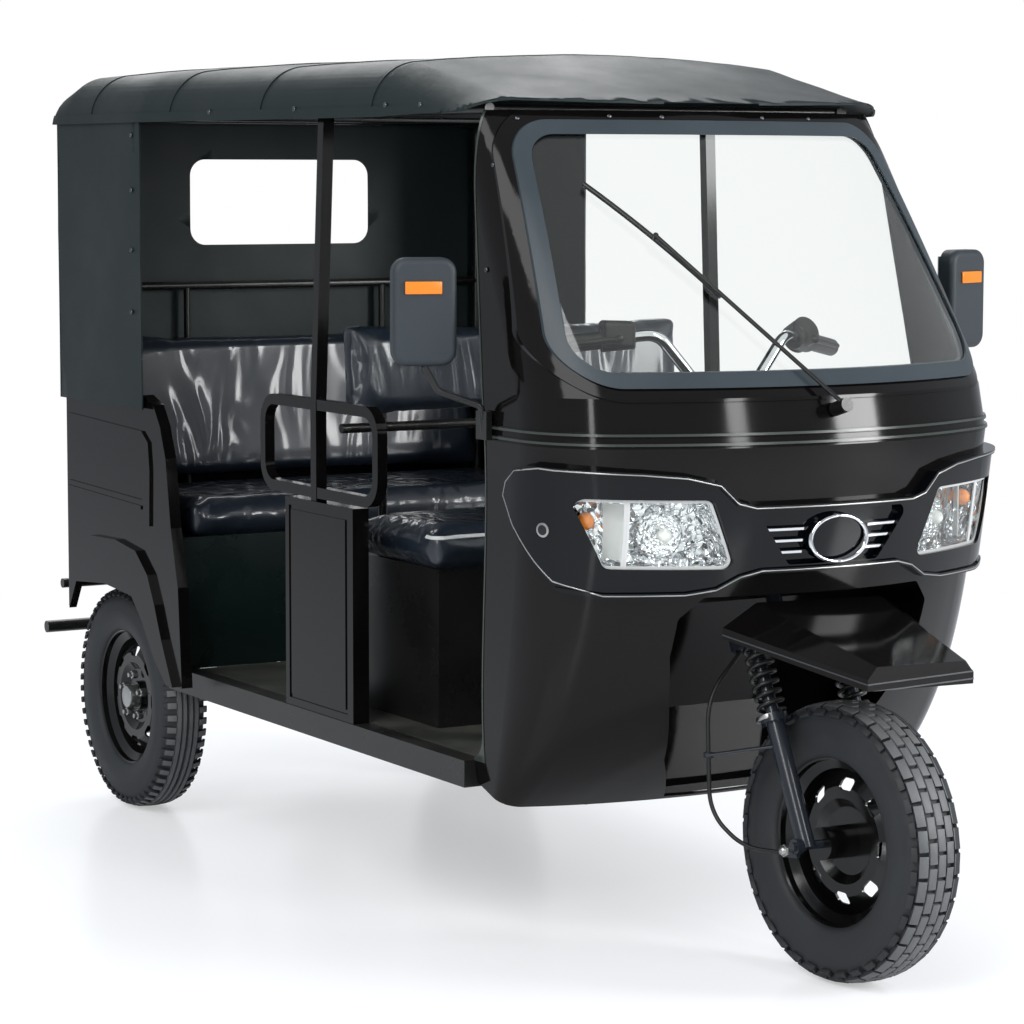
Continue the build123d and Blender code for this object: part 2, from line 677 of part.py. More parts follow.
def wheel_rim(windows, dish, bore):
    """A pressed steel rim with a windowed disc, axis along Y."""
    edge, bead = RIM_HALF_WIDTH, RIM_BEAD_RADIUS
    outer = [(RIM_FLANGE_RADIUS, -edge), (bead + 4, -edge + 4), (bead + 3, -26), (bead - 14, -16)]
    inner = [(bead - 19, -13), (bead - 3, -24), (bead - 2, -edge + 6), (RIM_FLANGE_RADIUS - 5, -edge - 2)]
    barrel = revolved(
        outer + [(r, -y) for r, y in reversed(outer)] + [(r, -y) for r, y in reversed(inner)] + inner
    )
    face = [(bore, dish), (62, dish), (78, dish + 14), (100, dish + 14), (bead - 17, dish - 8)]
    back = [(r, y - 5) for r, y in reversed(face)]
    disc = revolved(face + back)
    slot = extrude(Plane.XZ.offset(-100) * (Pos(104, 0) * RectangleRounded(22, 34, 8)), 200)
    for step in range(windows):
        disc = disc - slot.rotate(Axis.Y, 360.0 * step / windows)
    return barrel + disc


HUB_RADIUS = 30.0
HUB_HALF = 64.0
DRUM_RADIUS = 66.0
DRUM_DEPTH = 40.0
FRONT_DISH = -2.0            # the front disc's face bulges to the right
REAR_HUB_RADIUS = 24.0


def front_drum():
    """The front hub with its brake drum, bored for the spindle."""
    hub = rod((0, -HUB_HALF, 0), (0, HUB_HALF, 0), HUB_RADIUS)
    drum = rod((0, HUB_HALF - DRUM_DEPTH, 0), (0, HUB_HALF - 4, 0), DRUM_RADIUS)
    return hub + drum - rod((0, -90, 0), (0, 90, 0), AXLE_RADIUS + FIT)


REAR_DRUM_RADIUS = 88.0
SPINDLE_RADIUS = 20.0
BACKPLATE_Y = 386.0          # outer face of the axle's backplate
SPINDLE_END_Y = 478.0


def rear_wheel(sign):
    """A rear rim with its drum, bored for the spindle; the tyre is a piece of its own."""
    centre = sign * TRACK / 2
    rim = wheel_rim(8, 6, SPINDLE_RADIUS + FIT)
    if sign < 0:
        rim = mirror(rim, about=Plane.XZ)
    drum_in, drum_out = BACKPLATE_Y + 2, TRACK / 2 + 4
    drum = rod((0, sign * drum_in, 0), (0, sign * drum_out, 0), REAR_DRUM_RADIUS)
    cap = rod((0, sign * drum_out, 0), (0, sign * (SPINDLE_END_Y - 12), 0), 34)
    wheel = Pos(0, centre, 0) * rim + drum + cap
    return Pos(0, 0, TYRE_RADIUS) * (wheel - rod((0, sign * 360, 0), (0, sign * 520, 0), SPINDLE_RADIUS + FIT))


# lower edge of the quarter panel, front to back, with the wheel opening: (x, z)
WHEEL_OPENING = (
    (396.0, 343.0), (335.0, 391.0), (267.0, 471.0), (214.0, 519.0), (64.0, 530.0), (-98.0, 517.0), (-140.0, 450.0),
)
# outer edge of the raised flare over it
FLARE_LINE = (
    (372.0, 440.0), (337.0, 513.0), (301.0, 575.0), (238.0, 622.0), (128.0, 636.0), (-14.0, 632.0), (-90.0, 601.0),
    (-134.0, 539.0),
)
FLARE_PROUD = 12.0
# front edge of the panel, top to bottom
QUARTER_EDGE = ((262.0, 968.0), (316.0, 950.0), (350.0, 905.0), (378.0, 837.0), (402.0, 687.0), (436.0, 561.0), (452.0, 343.0))
QUARTER_EDGE_DEPTH = 26.0    # how far the front edge is turned in
WHEEL_HOUSE_INNER_Y = 372.0
REAR_LOW_Z = WHEEL_OPENING[-1][1]
# pressed field of the panel and the shallower one inside it
FIELD = ((-150.0, 690.0), (300.0, 682.0), (304.0, 806.0), (296.0, 866.0), (262.0, 889.0), (-150.0, 903.0))
INNER_FIELD = ((-160.0, 748.0), (262.0, 737.0), (286.0, 815.0), (246.0, 841.0), (-160.0, 846.0))
FIELD_PROUD = 5.0
FIELD_BEAD = ((-150.0, 728.0), (262.0, 716.0), (262.0, 724.0), (-150.0, 736.0))


def quarter_panel(sign):
    """A rear side panel with its wheel opening, raised flare, pressed field and turned-in front edge."""
    outer_y, sheet = BODY_HALF, BODY_SHEET
    inner_y = outer_y - QUARTER_EDGE_DEPTH
    outline = [(BODY_REAR_X, REAR_LOW_Z), (BODY_REAR_X, BODY_TOP_Z), *QUARTER_EDGE, *WHEEL_OPENING]
    inset = [(BODY_REAR_X - 5, 200), (BODY_REAR_X - 5, BODY_TOP_Z + 5), (QUARTER_EDGE[0][0] - sheet, BODY_TOP_Z + 5)]
    inset += [(x - sheet - 1, z - sheet) for x, z in QUARTER_EDGE[:-1]]
    inset += [(QUARTER_EDGE[-1][0] - sheet - 1, 200)]
    panel = side_prism(outline, inner_y, outer_y) - side_prism(inset, inner_y - 5, outer_y - sheet)
    flare = [WHEEL_OPENING[-1], *reversed(FLARE_LINE), (QUARTER_EDGE[-1][0] - 24, 343.0), *WHEEL_OPENING[:-1]]
    panel = panel + side_prism(flare, outer_y - 1, outer_y + FLARE_PROUD)
    panel = panel + side_prism(FIELD, outer_y - 1, outer_y + FIELD_PROUD)
    panel = panel - side_prism(INNER_FIELD, outer_y + 1, outer_y + FIELD_PROUD + 5)
    panel = panel + side_prism(FIELD_BEAD, outer_y, outer_y + FIELD_PROUD + 3)
    return panel if sign > 0 else mirror(panel, about=Plane.XZ)


def rear_panel():
    """The lower back panel between the quarter panels."""
    half = BODY_HALF - BODY_SHEET - FIT
    panel = block(BODY_REAR_X, BODY_REAR_X + BODY_SHEET, -half, half, REAR_LOW_Z, BODY_TOP_Z)
    notch = block(BODY_REAR_X - 5, BODY_REAR_X + 20, WHEEL_HOUSE_INNER_Y - 6, half + 5, 400, REAR_NOTCH_Z)
    return panel - both_sides(notch)


REAR_NOTCH_Z = 500.0         # the back panel stops here behind each wheel
WHEEL_HOUSE_TOP_Z = 600.0
TUB_SHEET = 4.0
TUB_FRONT_X = 335.0
REAR_RAIL_TOP = 452.0


def rear_tub():
    """The sheet-metal tub under the bench: front wall, seat deck, floor and wheel houses."""
    side_y = BODY_HALF - BODY_SHEET - FIT
    rear_x = BODY_REAR_X + BODY_SHEET + FIT
    front_x, sheet = TUB_FRONT_X, TUB_SHEET
    deck_z = BENCH_TOP_Z - BENCH_THICK - FIT
    floor_z = REAR_RAIL_TOP + FIT
    house_y = WHEEL_HOUSE_INNER_Y
    pieces = [
        block(front_x - sheet, front_x, -side_y, side_y, SILL_TOP + FIT, deck_z),
        block(rear_x, front_x, -SILL_OUTER_Y, SILL_OUTER_Y, deck_z - sheet, deck_z),
        block(rear_x, front_x, -house_y, house_y, floor_z, floor_z + sheet),
    ]
    for sign in (1, -1):
        inner_y, top_z = sign * house_y, WHEEL_HOUSE_TOP_Z
        pieces.append(block(rear_x, front_x, inner_y, inner_y - sign * sheet, floor_z, top_z))
        pieces.append(block(rear_x, front_x, inner_y - sign * sheet, sign * side_y, top_z - sheet, top_z))
        pieces.append(block(rear_x, rear_x + sheet, sign * SILL_OUTER_Y, sign * (SILL_OUTER_Y - sheet), top_z - 2, deck_z))
    for y in (-SILL_OUTER_Y + sheet, SILL_OUTER_Y - 2 * sheet):
        pieces.append(block(rear_x, front_x, y, y + sheet, WHEEL_HOUSE_TOP_Z - 2, deck_z))
    return fuse(pieces)


CURTAIN_SHEET = 5.0
CURTAIN_REAR_X = BODY_REAR_X - 2 * FIT - CURTAIN_SHEET
ROOF_REAR_X = CURTAIN_REAR_X - FIT - CANVAS
# roof sections: x, half width, edge z, shoulder z, crown z
SHOULDER_IN = 88.0
ROOF_SECTIONS = (
    (ROOF_REAR_X, ROOF_HALF_REAR, ROOF_EDGE_Z, 1640.0, 1668.0),
    (BODY_REAR_X + 60, ROOF_HALF_REAR, ROOF_EDGE_Z, 1668.0, ROOF_CROWN_Z),
    (CURTAIN_FRONT_X, ROOF_HALF_REAR, ROOF_EDGE_Z, 1668.0, ROOF_CROWN_Z),
    (ROOF_BREAK_X, 503.0, ROOF_EDGE_Z, 1668.0, 1689.0),
    (ROOF_FRONT_X, ROOF_HALF_FRONT, ROOF_EDGE_Z + 10, 1582.0, 1590.0),
)


def roof_section(row, inset):
    """A roof section across the vehicle: sloped sides, shoulder arcs and a crowned top."""
    x, half, edge_z, shoulder_z, crown_z = row
    half, shoulder_z, crown_z = half - inset, shoulder_z - inset, crown_z - inset
    shoulder = half - SHOULDER_IN
    rise = shoulder_z - edge_z
    bend_y, bend_z = half - SHOULDER_IN * 0.3, edge_z + rise * 0.68
    outline = [
        ThreePointArc((x, half, edge_z), (x, bend_y, bend_z), (x, shoulder, shoulder_z)),
        ThreePointArc((x, shoulder, shoulder_z), (x, 0, crown_z), (x, -shoulder, shoulder_z)),
        ThreePointArc((x, -shoulder, shoulder_z), (x, -bend_y, bend_z), (x, -half, edge_z)),
    ]
    low_z = edge_z - (20 if inset else 0)
    if inset:
        outline.append(Line((x, -half, edge_z), (x, -half, low_z)))
    outline.append(Line((x, -half, low_z), (x, half, low_z)))
    if inset:
        outline.append(Line((x, half, low_z), (x, half, edge_z)))
    return make_face(outline)


HEADER_CORNER_X = WHEELBASE - 640.0


def roof_canopy():
    """The canvas roof as one thin shell, its front hem cut to the header's curve."""
    outer = loft([roof_section(row, 0) for row in ROOF_SECTIONS], ruled=True)
    rows = [list(row) for row in ROOF_SECTIONS]
    rows[0][0] += CANVAS
    rows[-1][0] += CANVAS
    inner = loft([roof_section(row, CANVAS) for row in rows], ruled=True)
    hem = Pos(0, 0, -40) * extrude(plan_section(*HEADER, ROOF_OVERHANG, ROOF_REAR_X - 10), 200)
    behind = block(ROOF_REAR_X - 10, HEADER_CORNER_X, -700, 700, ROOF_EDGE_Z - 60, ROOF_CROWN_Z + 20)
    return (outer - inner) & (hem + behind)


def rear_curtain():
    """The canvas sides and back under the roof, with the window cut in the back."""
    high = ROOF_EDGE_Z + 1
    half, rear_x, sheet = ROOF_HALF_REAR - CANVAS - FIT, CURTAIN_REAR_X, CURTAIN_SHEET
    outer = block(rear_x, CURTAIN_FRONT_X, -half, half, CURTAIN_HEM_Z, high)
    inner = block(rear_x + sheet, CURTAIN_FRONT_X + 5, -half + sheet, half - sheet, CURTAIN_HEM_Z - 5, high + 5)
    window_half = REAR_WINDOW_HALF
    window = rounded_trapezoid(
        window_half, window_half, REAR_WINDOW_LOW_Z, REAR_WINDOW_HIGH_Z, REAR_WINDOW_CORNER
    )
    return outer - inner - front_prism(window, rear_x - 20, rear_x + 60)


ROOF_TUBE = 11.0
RAIL_IN_REAR = 50.0          # side rail inside the canvas edge
RAIL_IN_FRONT = 65.0
ROOF_RAIL_Z = ROOF_EDGE_Z + 14
ROOF_RAIL_FRONT_X = WHEELBASE - 594.0
BACK_TUBE_X = BODY_REAR_X + 22.0
RAIL_TOP_Z = 1190.0
RAIL_SUPPORT_Y = 259.0
RAIL_SUPPORT = 9.0
ROOF_BEND = 40.0


def rail_y(x):
    """Where the side rail runs at x."""
    rear_y, front_y = ROOF_HALF_REAR - RAIL_IN_REAR, ROOF_HALF_FRONT - RAIL_IN_FRONT
    if x <= CURTAIN_FRONT_X:
        return rear_y
    share = (x - CURTAIN_FRONT_X) / (ROOF_RAIL_FRONT_X - CURTAIN_FRONT_X)
    return rear_y + share * (front_y - rear_y)


def roof_frame():
    """Round tubes under the canvas: side rails, bows, rear uprights and the rail behind the bench."""
    z, rear_x = ROOF_RAIL_Z, BACK_TUBE_X
    rear_y, front_y = rail_y(rear_x), rail_y(ROOF_RAIL_FRONT_X)
    bow = ROOF_TUBE - 1.5
    side = bent_tube(
        [(rear_x, rear_y, WHEEL_HOUSE_TOP_Z + FIT), (rear_x, rear_y, z), (CURTAIN_FRONT_X, rear_y, z),
         (ROOF_RAIL_FRONT_X, front_y, z)],
        [ROOF_BEND, 4 * ROOF_BEND],
        ROOF_TUBE,
    )
    pieces = [both_sides(side)]
    for x in (rear_x + 1.2 * ROOF_BEND, CURTAIN_FRONT_X - ROOF_BEND, SIDE_POST_X, ROOF_RAIL_FRONT_X - 14):
        pieces.append(rod((x, -rail_y(x), z), (x, rail_y(x), z), bow))
    pieces.append(rod((rear_x, -rear_y, RAIL_TOP_Z), (rear_x, rear_y, RAIL_TOP_Z), bow))
    deck_z = BENCH_TOP_Z - BENCH_THICK
    for y in (-RAIL_SUPPORT_Y, RAIL_SUPPORT_Y):
        pieces.append(rod((rear_x, y, RAIL_TOP_Z), (rear_x, y, deck_z), RAIL_SUPPORT - 1.5))
    return fuse(pieces)


def side_post(sign):
    """Lower box, hoop and post between the driver's and the passengers' doorways."""
    y0, y1 = SIDE_Y - PARTITION_DEPTH / 2, SIDE_Y + PARTITION_DEPTH / 2
    box = block(PARTITION_REAR_X, PARTITION_FRONT_X, y0, y1, SILL_TOP + FIT, PARTITION_TOP_Z)
    field = [
        block(PARTITION_REAR_X + margin, PARTITION_FRONT_X - margin - 8, y1 - 3, y1 + 5, SILL_TOP + margin, PARTITION_TOP_Z - margin)
        for margin in (PARTITION_MARGIN, PARTITION_MARGIN + 9)
    ]
    hoop_face = Pos((HOOP_REAR_X + HOOP_FRONT_X) / 2, (HOOP_LOW_Z + HOOP_HIGH_Z) / 2) * (
        RectangleRounded(HOOP_FRONT_X - HOOP_REAR_X + HOOP_TUBE, HOOP_HIGH_Z - HOOP_LOW_Z + HOOP_TUBE, HOOP_CORNER + HOOP_TUBE / 2)
        - RectangleRounded(HOOP_FRONT_X - HOOP_REAR_X - HOOP_TUBE, HOOP_HIGH_Z - HOOP_LOW_Z - HOOP_TUBE, HOOP_CORNER - HOOP_TUBE / 2)
    )
    hoop = extrude(Plane.XZ * hoop_face, amount=HOOP_TUBE / 2, both=True)
    hoop = Pos(0, SIDE_Y, 0) * hoop
    half = SIDE_POST / 2
    low = block(SIDE_POST_X - half, SIDE_POST_X + half, SIDE_Y - half, SIDE_Y + half, PARTITION_TOP_Z - 5, HOOP_HIGH_Z)
    top_y, top_z = rail_y(SIDE_POST_X), ROOF_RAIL_Z - ROOF_TUBE - FIT
    lean = loft([
        Pos(SIDE_POST_X, SIDE_Y, HOOP_HIGH_Z) * Rectangle(SIDE_POST, SIDE_POST),
        Pos(SIDE_POST_X, top_y, top_z) * Rectangle(SIDE_POST, SIDE_POST),
    ], ruled=True)
    post = box - (field[0] - field[1]) + hoop + low + lean
    return post if sign > 0 else mirror(post, about=Plane.XZ)


def cushion(x0, x1, half, z0, z1, round_edge):
    """A plain padded block with rounded edges."""
    pad = block(x0, x1, -half, half, z0, z1)
    return fillet(pad.edges(), round_edge)


def leaning_pad(foot_x, top_x, half, low_z, high_z, thick, round_edge):
    """A backrest that leans back from its foot."""
    pad = side_prism(((foot_x - thick, low_z), (foot_x, low_z), (top_x, high_z), (top_x - thick, high_z)), -half, half)
    return fillet(pad.edges(), round_edge)


SEAT_BOX = (925.0, 1262.0, 372.0)   # rear x, front x, half width


def battery_box():
    """The pedestal under the driver's seat, which holds the batteries."""
    x0, x1, half = SEAT_BOX
    return block(x0, x1, -half, half, SILL_TOP + FIT, DRIVER_SEAT_TOP_Z - DRIVER_SEAT_THICK - FIT)


DRIVER_BACK_THICK = 50.0
DRIVER_BACK_FOOT_X = 955.0   # front of the backrest at its lower edge
DRIVER_BACK_TOP_X = 940.0
BACK_FRAME_TUBE = 10.0
BACK_FRAME_Y = 300.0


def driver_back_frame():
    """Tube frame that carries the driver's backrest, standing on the floor."""
    foot_x = DRIVER_BACK_FOOT_X - DRIVER_BACK_THICK - BACK_FRAME_TUBE - FIT
    lean = (DRIVER_BACK_FOOT_X - DRIVER_BACK_TOP_X) / (DRIVER_BACK_TOP_Z - DRIVER_BACK_LOW_Z)
    top_z = DRIVER_BACK_TOP_Z - 40
    top_x = foot_x - lean * (top_z - DRIVER_BACK_LOW_Z)
    bar_z = DRIVER_BACK_LOW_Z - 22
    pieces = [rod((foot_x, -DRIVER_SEAT_HALF + 10, bar_z), (foot_x, DRIVER_SEAT_HALF - 10, bar_z), BACK_FRAME_TUBE)]
    for sign in (1, -1):
        y = sign * BACK_FRAME_Y
        knee = (foot_x, y, DRIVER_BACK_LOW_Z)
        pieces.append(rod((foot_x, y, SILL_TOP + FIT), knee, BACK_FRAME_TUBE))
        pieces.append(rod(knee, (top_x, y, top_z), BACK_FRAME_TUBE))
    return fuse(pieces)


BUMPER_BRACKET_Y = 300.0
BRACKET_PLATE = 8.0


def rear_bumper():
    """Two guard tubes behind the body on plate brackets, the lower one with end sleeves."""
    bracket = (
        (BODY_REAR_X - FIT, 330), (BODY_REAR_X - FIT, 520), (BODY_REAR_X - 36, 520), (BUMPER_X - 6, 400),
        (BUMPER_X - 6, 370), (BODY_REAR_X - 40, 330),
    )
    pieces = [
        rod((BUMPER_X, -BUMPER_HALF, BUMPER_Z), (BUMPER_X, BUMPER_HALF, BUMPER_Z), BUMPER_TUBE / 2 - 1),
        rod((BODY_REAR_X - 30, -BUMPER_HALF, 500), (BODY_REAR_X - 30, BUMPER_HALF, 500), 11),
    ]
    for sign in (1, -1):
        middle, half = sign * BUMPER_BRACKET_Y, BRACKET_PLATE / 2
        pieces.append(side_prism(bracket, middle - half, middle + half))
        sleeve_y = middle + sign * (half + FIT)
        pieces.append(rod((BUMPER_X, sleeve_y, BUMPER_Z), (BUMPER_X, sign * BUMPER_HALF, BUMPER_Z), BUMPER_TUBE / 2))
    return fuse(pieces)


def tail_lamps():
    """Rear lamps on the back panel."""
    lamps = []
    for sign in (1, -1):
        lamp = block(BODY_REAR_X - 34, BODY_REAR_X - FIT, sign * 395, sign * 515, 640, 820)
        lamps.append(fillet(lamp.faces().sort_by(Axis.X)[0].edges(), 14))
    return fuse(lamps)


AXLE_TUBE = 27.0
SPRING_LEAF = 7.0
SPRING_WIDTH = 50.0
SPRING_EYE = 22.0            # height of the hanger between leaf and rail
SPRING_REAR_X = -140.0
SPRING_FRONT_X = 236.0


def rear_axle():
    """Axle tube with its differential, backplates, spindles and the drive motor as one block."""
    z = TYRE_RADIUS
    pieces = [
        rod((0, -BACKPLATE_Y, z), (0, BACKPLATE_Y, z), AXLE_TUBE),
        Pos(0, 0, z) * Sphere(88),
        rod((30, 0, z), (286, 0, z), 76),
    ]
    for sign in (1, -1):
        pieces.append(rod((0, sign * (BACKPLATE_Y - 8), z), (0, sign * BACKPLATE_Y, z), 96))
        pieces.append(rod((0, sign * (BACKPLATE_Y - 10), z), (0, sign * SPINDLE_END_Y, z), SPINDLE_RADIUS))
        pieces.append(block(-34, 34, sign * (RAIL_Y - 25), sign * (RAIL_Y + 25), z + 10, z + AXLE_TUBE + 6))
    return fuse(pieces)


def leaf_springs():
    """A stack of arched leaves each side, from the axle's pads to eyes under the rails."""
    low_z = TYRE_RADIUS + AXLE_TUBE + 6 + FIT
    eye_low = REAR_RAIL_TOP - RAIL_HEIGHT - SPRING_EYE
    springs = []
    leaves = ((SPRING_REAR_X, SPRING_FRONT_X), (-100.0, 170.0), (-66.0, 100.0))
    for index, (rear_x, front_x) in enumerate(leaves):
        base = low_z + SPRING_LEAF * (len(leaves) - 1 - index)
        rise = eye_low - low_z - SPRING_LEAF * len(leaves)
        rise_rear, rise_front = rise * (rear_x / SPRING_REAR_X) ** 2, rise * (front_x / SPRING_FRONT_X) ** 2
        line = [(rear_x, base + rise_rear), (rear_x * 0.6, base + rise_rear * 0.36), (-30, base), (30, base)]
        line += [(front_x * 0.6, base + rise_front * 0.36), (front_x, base + rise_front)]
        upper = [(x, z + SPRING_LEAF) for x, z in reversed(line)]
        springs.append(side_prism(line + upper, RAIL_Y - SPRING_WIDTH / 2, RAIL_Y + SPRING_WIDTH / 2))
    stack = fuse(springs)
    for x in (SPRING_REAR_X + 8, SPRING_FRONT_X - 8):
        stack = stack + block(x - 14, x + 14, RAIL_Y - 18, RAIL_Y + 18, eye_low, REAR_RAIL_TOP - RAIL_HEIGHT - FIT)
    return both_sides(stack)


def mirror_shell(sign):
    """A door mirror's housing, toed in to the driver."""
    shell = Box(MIRROR_DEPTH, MIRROR_WIDTH, MIRROR_HEIGHT)
    shell = fillet(shell.edges().filter_by(Axis.X), 28)
    shell = fillet(shell.faces().sort_by(Axis.X)[-1].edges(), 12)
    return Pos(MIRROR_X, sign * MIRROR_Y, MIRROR_Z) * Rot(0, 0, sign * MIRROR_TOE) * shell


def mirror_arms():
    """Bent mirror stalks on brackets at the cab's corner pillars."""
    low = MIRROR_Z - MIRROR_HEIGHT / 2 - FIT
    foot_x, seat_y = MIRROR_X + 38, WAIST[1] + FIT + BEAD_PROUD
    points = [(foot_x, seat_y + 6, 985), (foot_x, seat_y + 11, 1034), (MIRROR_X + 7, 590, 1062), (MIRROR_X, MIRROR_Y, low)]
    arm = bent_tube(points, [14, 22], 6) - block(MIRROR_X - 50, MIRROR_X + 60, 560, 700, low, low + 20)
    bracket = block(foot_x - 19, foot_x + 19, seat_y, seat_y + 12, 974, 1026)
    return both_sides(arm + bracket)


WIPER_PIVOT = (WHEELBASE - 58.0, 0.0, 1034.0)
# the blade on the glass: top, middle and lower end
WIPER_BLADE = ((WHEELBASE - 403.0, -320.0, 1431.0), (WHEELBASE - 300.0, -232.0, 1333.0), (WHEELBASE - 205.0, -149.0, 1229.0))
GLASS_NORMAL = (0.765, -0.2, 0.61)
BLADE_OFF = 9.0
BLADE_RADIUS = 5.0


def wiper():
    """Wiper spindle, arm and blade just off the glass."""
    x, y, z = WIPER_PIVOT
    off = Vector(*GLASS_NORMAL)
    hub = rod((x, y, z), (x + 42, y, z + 12), 13) - cab_solid(UPPER_SECTIONS, BEAD_PROUD + FIT, ruled=True)
    top, middle, low = (Vector(*spot) + off * BLADE_OFF for spot in WIPER_BLADE)
    line = ThreePointArc(top, middle, low)
    blade = sweep(Plane(origin=line @ 0, z_dir=line % 0) * Circle(BLADE_RADIUS), path=line)
    joint = middle + off * (2 * BLADE_RADIUS - 1)
    arm = rod((x + 36, y, z + 10), tuple(joint), 4)
    return hub + arm + blade + rod(tuple(middle), tuple(joint + off * 3), 5)


HOUSING_SHEET = 5.0
HOUSING_HALF = 286.0
# line of the wheel housing's back and top, seen from the side: (distance behind the front axle, z)
HOUSING_LINE = ((438.0, 276.0), (410.0, 450.0), (314.0, 660.0), (258.0, 712.0), (-30.0, 718.0))


def wheel_housing():
    """The pressed housing behind the front wheel, seated inside the cab's skin."""
    sheet = HOUSING_SHEET
    line = [(WHEELBASE - back, z) for back, z in HOUSING_LINE]
    (foot_x, foot_z), ahead_x = line[0], line[-1][0]
    outer = side_prism(
        [*[(x - sheet, z + sheet) for x, z in line], (ahead_x, foot_z), (foot_x - sheet, foot_z)],
        -HOUSING_HALF - sheet, HOUSING_HALF + sheet,
    )
    inner = side_prism([*line, (ahead_x, 200), (foot_x, 200)], -HOUSING_HALF, HOUSING_HALF)
    shell = (outer - inner) & cab_solid(LOWER_SECTIONS, -PANEL - FIT)
    return shell - fork_rod(350, 600, 0, 0, STEM_RADIUS + 14)


def chassis_frame():
    """Box-section rails with a kick-up over the axle, sills, cross members and the steering head."""
    top = SILL_TOP - FLOOR_THICKNESS - FIT
    low, rear_top = top - RAIL_HEIGHT, REAR_RAIL_TOP
    rail_line = [
        (FRAME_FRONT_X, low), (FRAME_FRONT_X, top), (TUB_FRONT_X - 8, top), (TUB_FRONT_X - 66, rear_top),
        (BODY_REAR_X + 12, rear_top), (BODY_REAR_X + 12, rear_top - RAIL_HEIGHT),
        (TUB_FRONT_X - 88, rear_top - RAIL_HEIGHT), (TUB_FRONT_X - 30, low),
    ]
    half = RAIL_WIDTH / 2
    rail = side_prism(rail_line, RAIL_Y - half, RAIL_Y + half)
    sill = block(SILL_REAR_X, SILL_FRONT_X, SILL_OUTER_Y - SILL_WIDTH, SILL_OUTER_Y, SILL_TOP - SILL_HEIGHT, SILL_TOP)
    pieces = [both_sides(rail), both_sides(sill)]
    reach = SILL_OUTER_Y - 5
    for x in CROSS_MEMBERS_X:
        pieces.append(block(x - CROSS_MEMBER / 2, x + CROSS_MEMBER / 2, -reach, reach, top - CROSS_MEMBER, top))
    pieces.append(
        block(BODY_REAR_X + 12, BODY_REAR_X + 42, -BUMPER_BRACKET_Y - 20, BUMPER_BRACKET_Y + 20, rear_top - 45, rear_top)
    )
    pieces.append(fork_rod(HEAD_LOW, HEAD_HIGH, 0, 0, HEAD_TUBE_RADIUS))
    pieces += [neck_tube(sign, NECK_TUBE) for sign in (1, -1)]
    return fuse(pieces) - fork_rod(HEAD_LOW - 40, HEAD_HIGH + 40, 0, 0, STEM_RADIUS + FIT)


FRAME_FRONT_X = WHEELBASE - 510.0
CROSS_MEMBERS_X = (355.0, 800.0, 1120.0, FRAME_FRONT_X - 40)
NECK_TUBE = 16.0


def neck_tube(sign, radius):
    """One of the two tubes from the rails' front ends up to the steering head."""
    foot = (FRAME_FRONT_X - 20, sign * RAIL_Y, SILL_TOP - FLOOR_THICKNESS - 20)
    return rod(foot, along_fork(HEAD_HIGH - 40, sign * 10), radius)


def floor_pan():
    """The floor between the sills, notched round the neck tubes."""
    half = SILL_OUTER_Y - SILL_WIDTH - FIT
    pan = block(TUB_FRONT_X + FIT, FRAME_FRONT_X + 40, -half, half, SILL_TOP - FLOOR_THICKNESS, SILL_TOP)
    for sign in (1, -1):
        pan = pan - neck_tube(sign, NECK_TUBE + 1)
    return pan


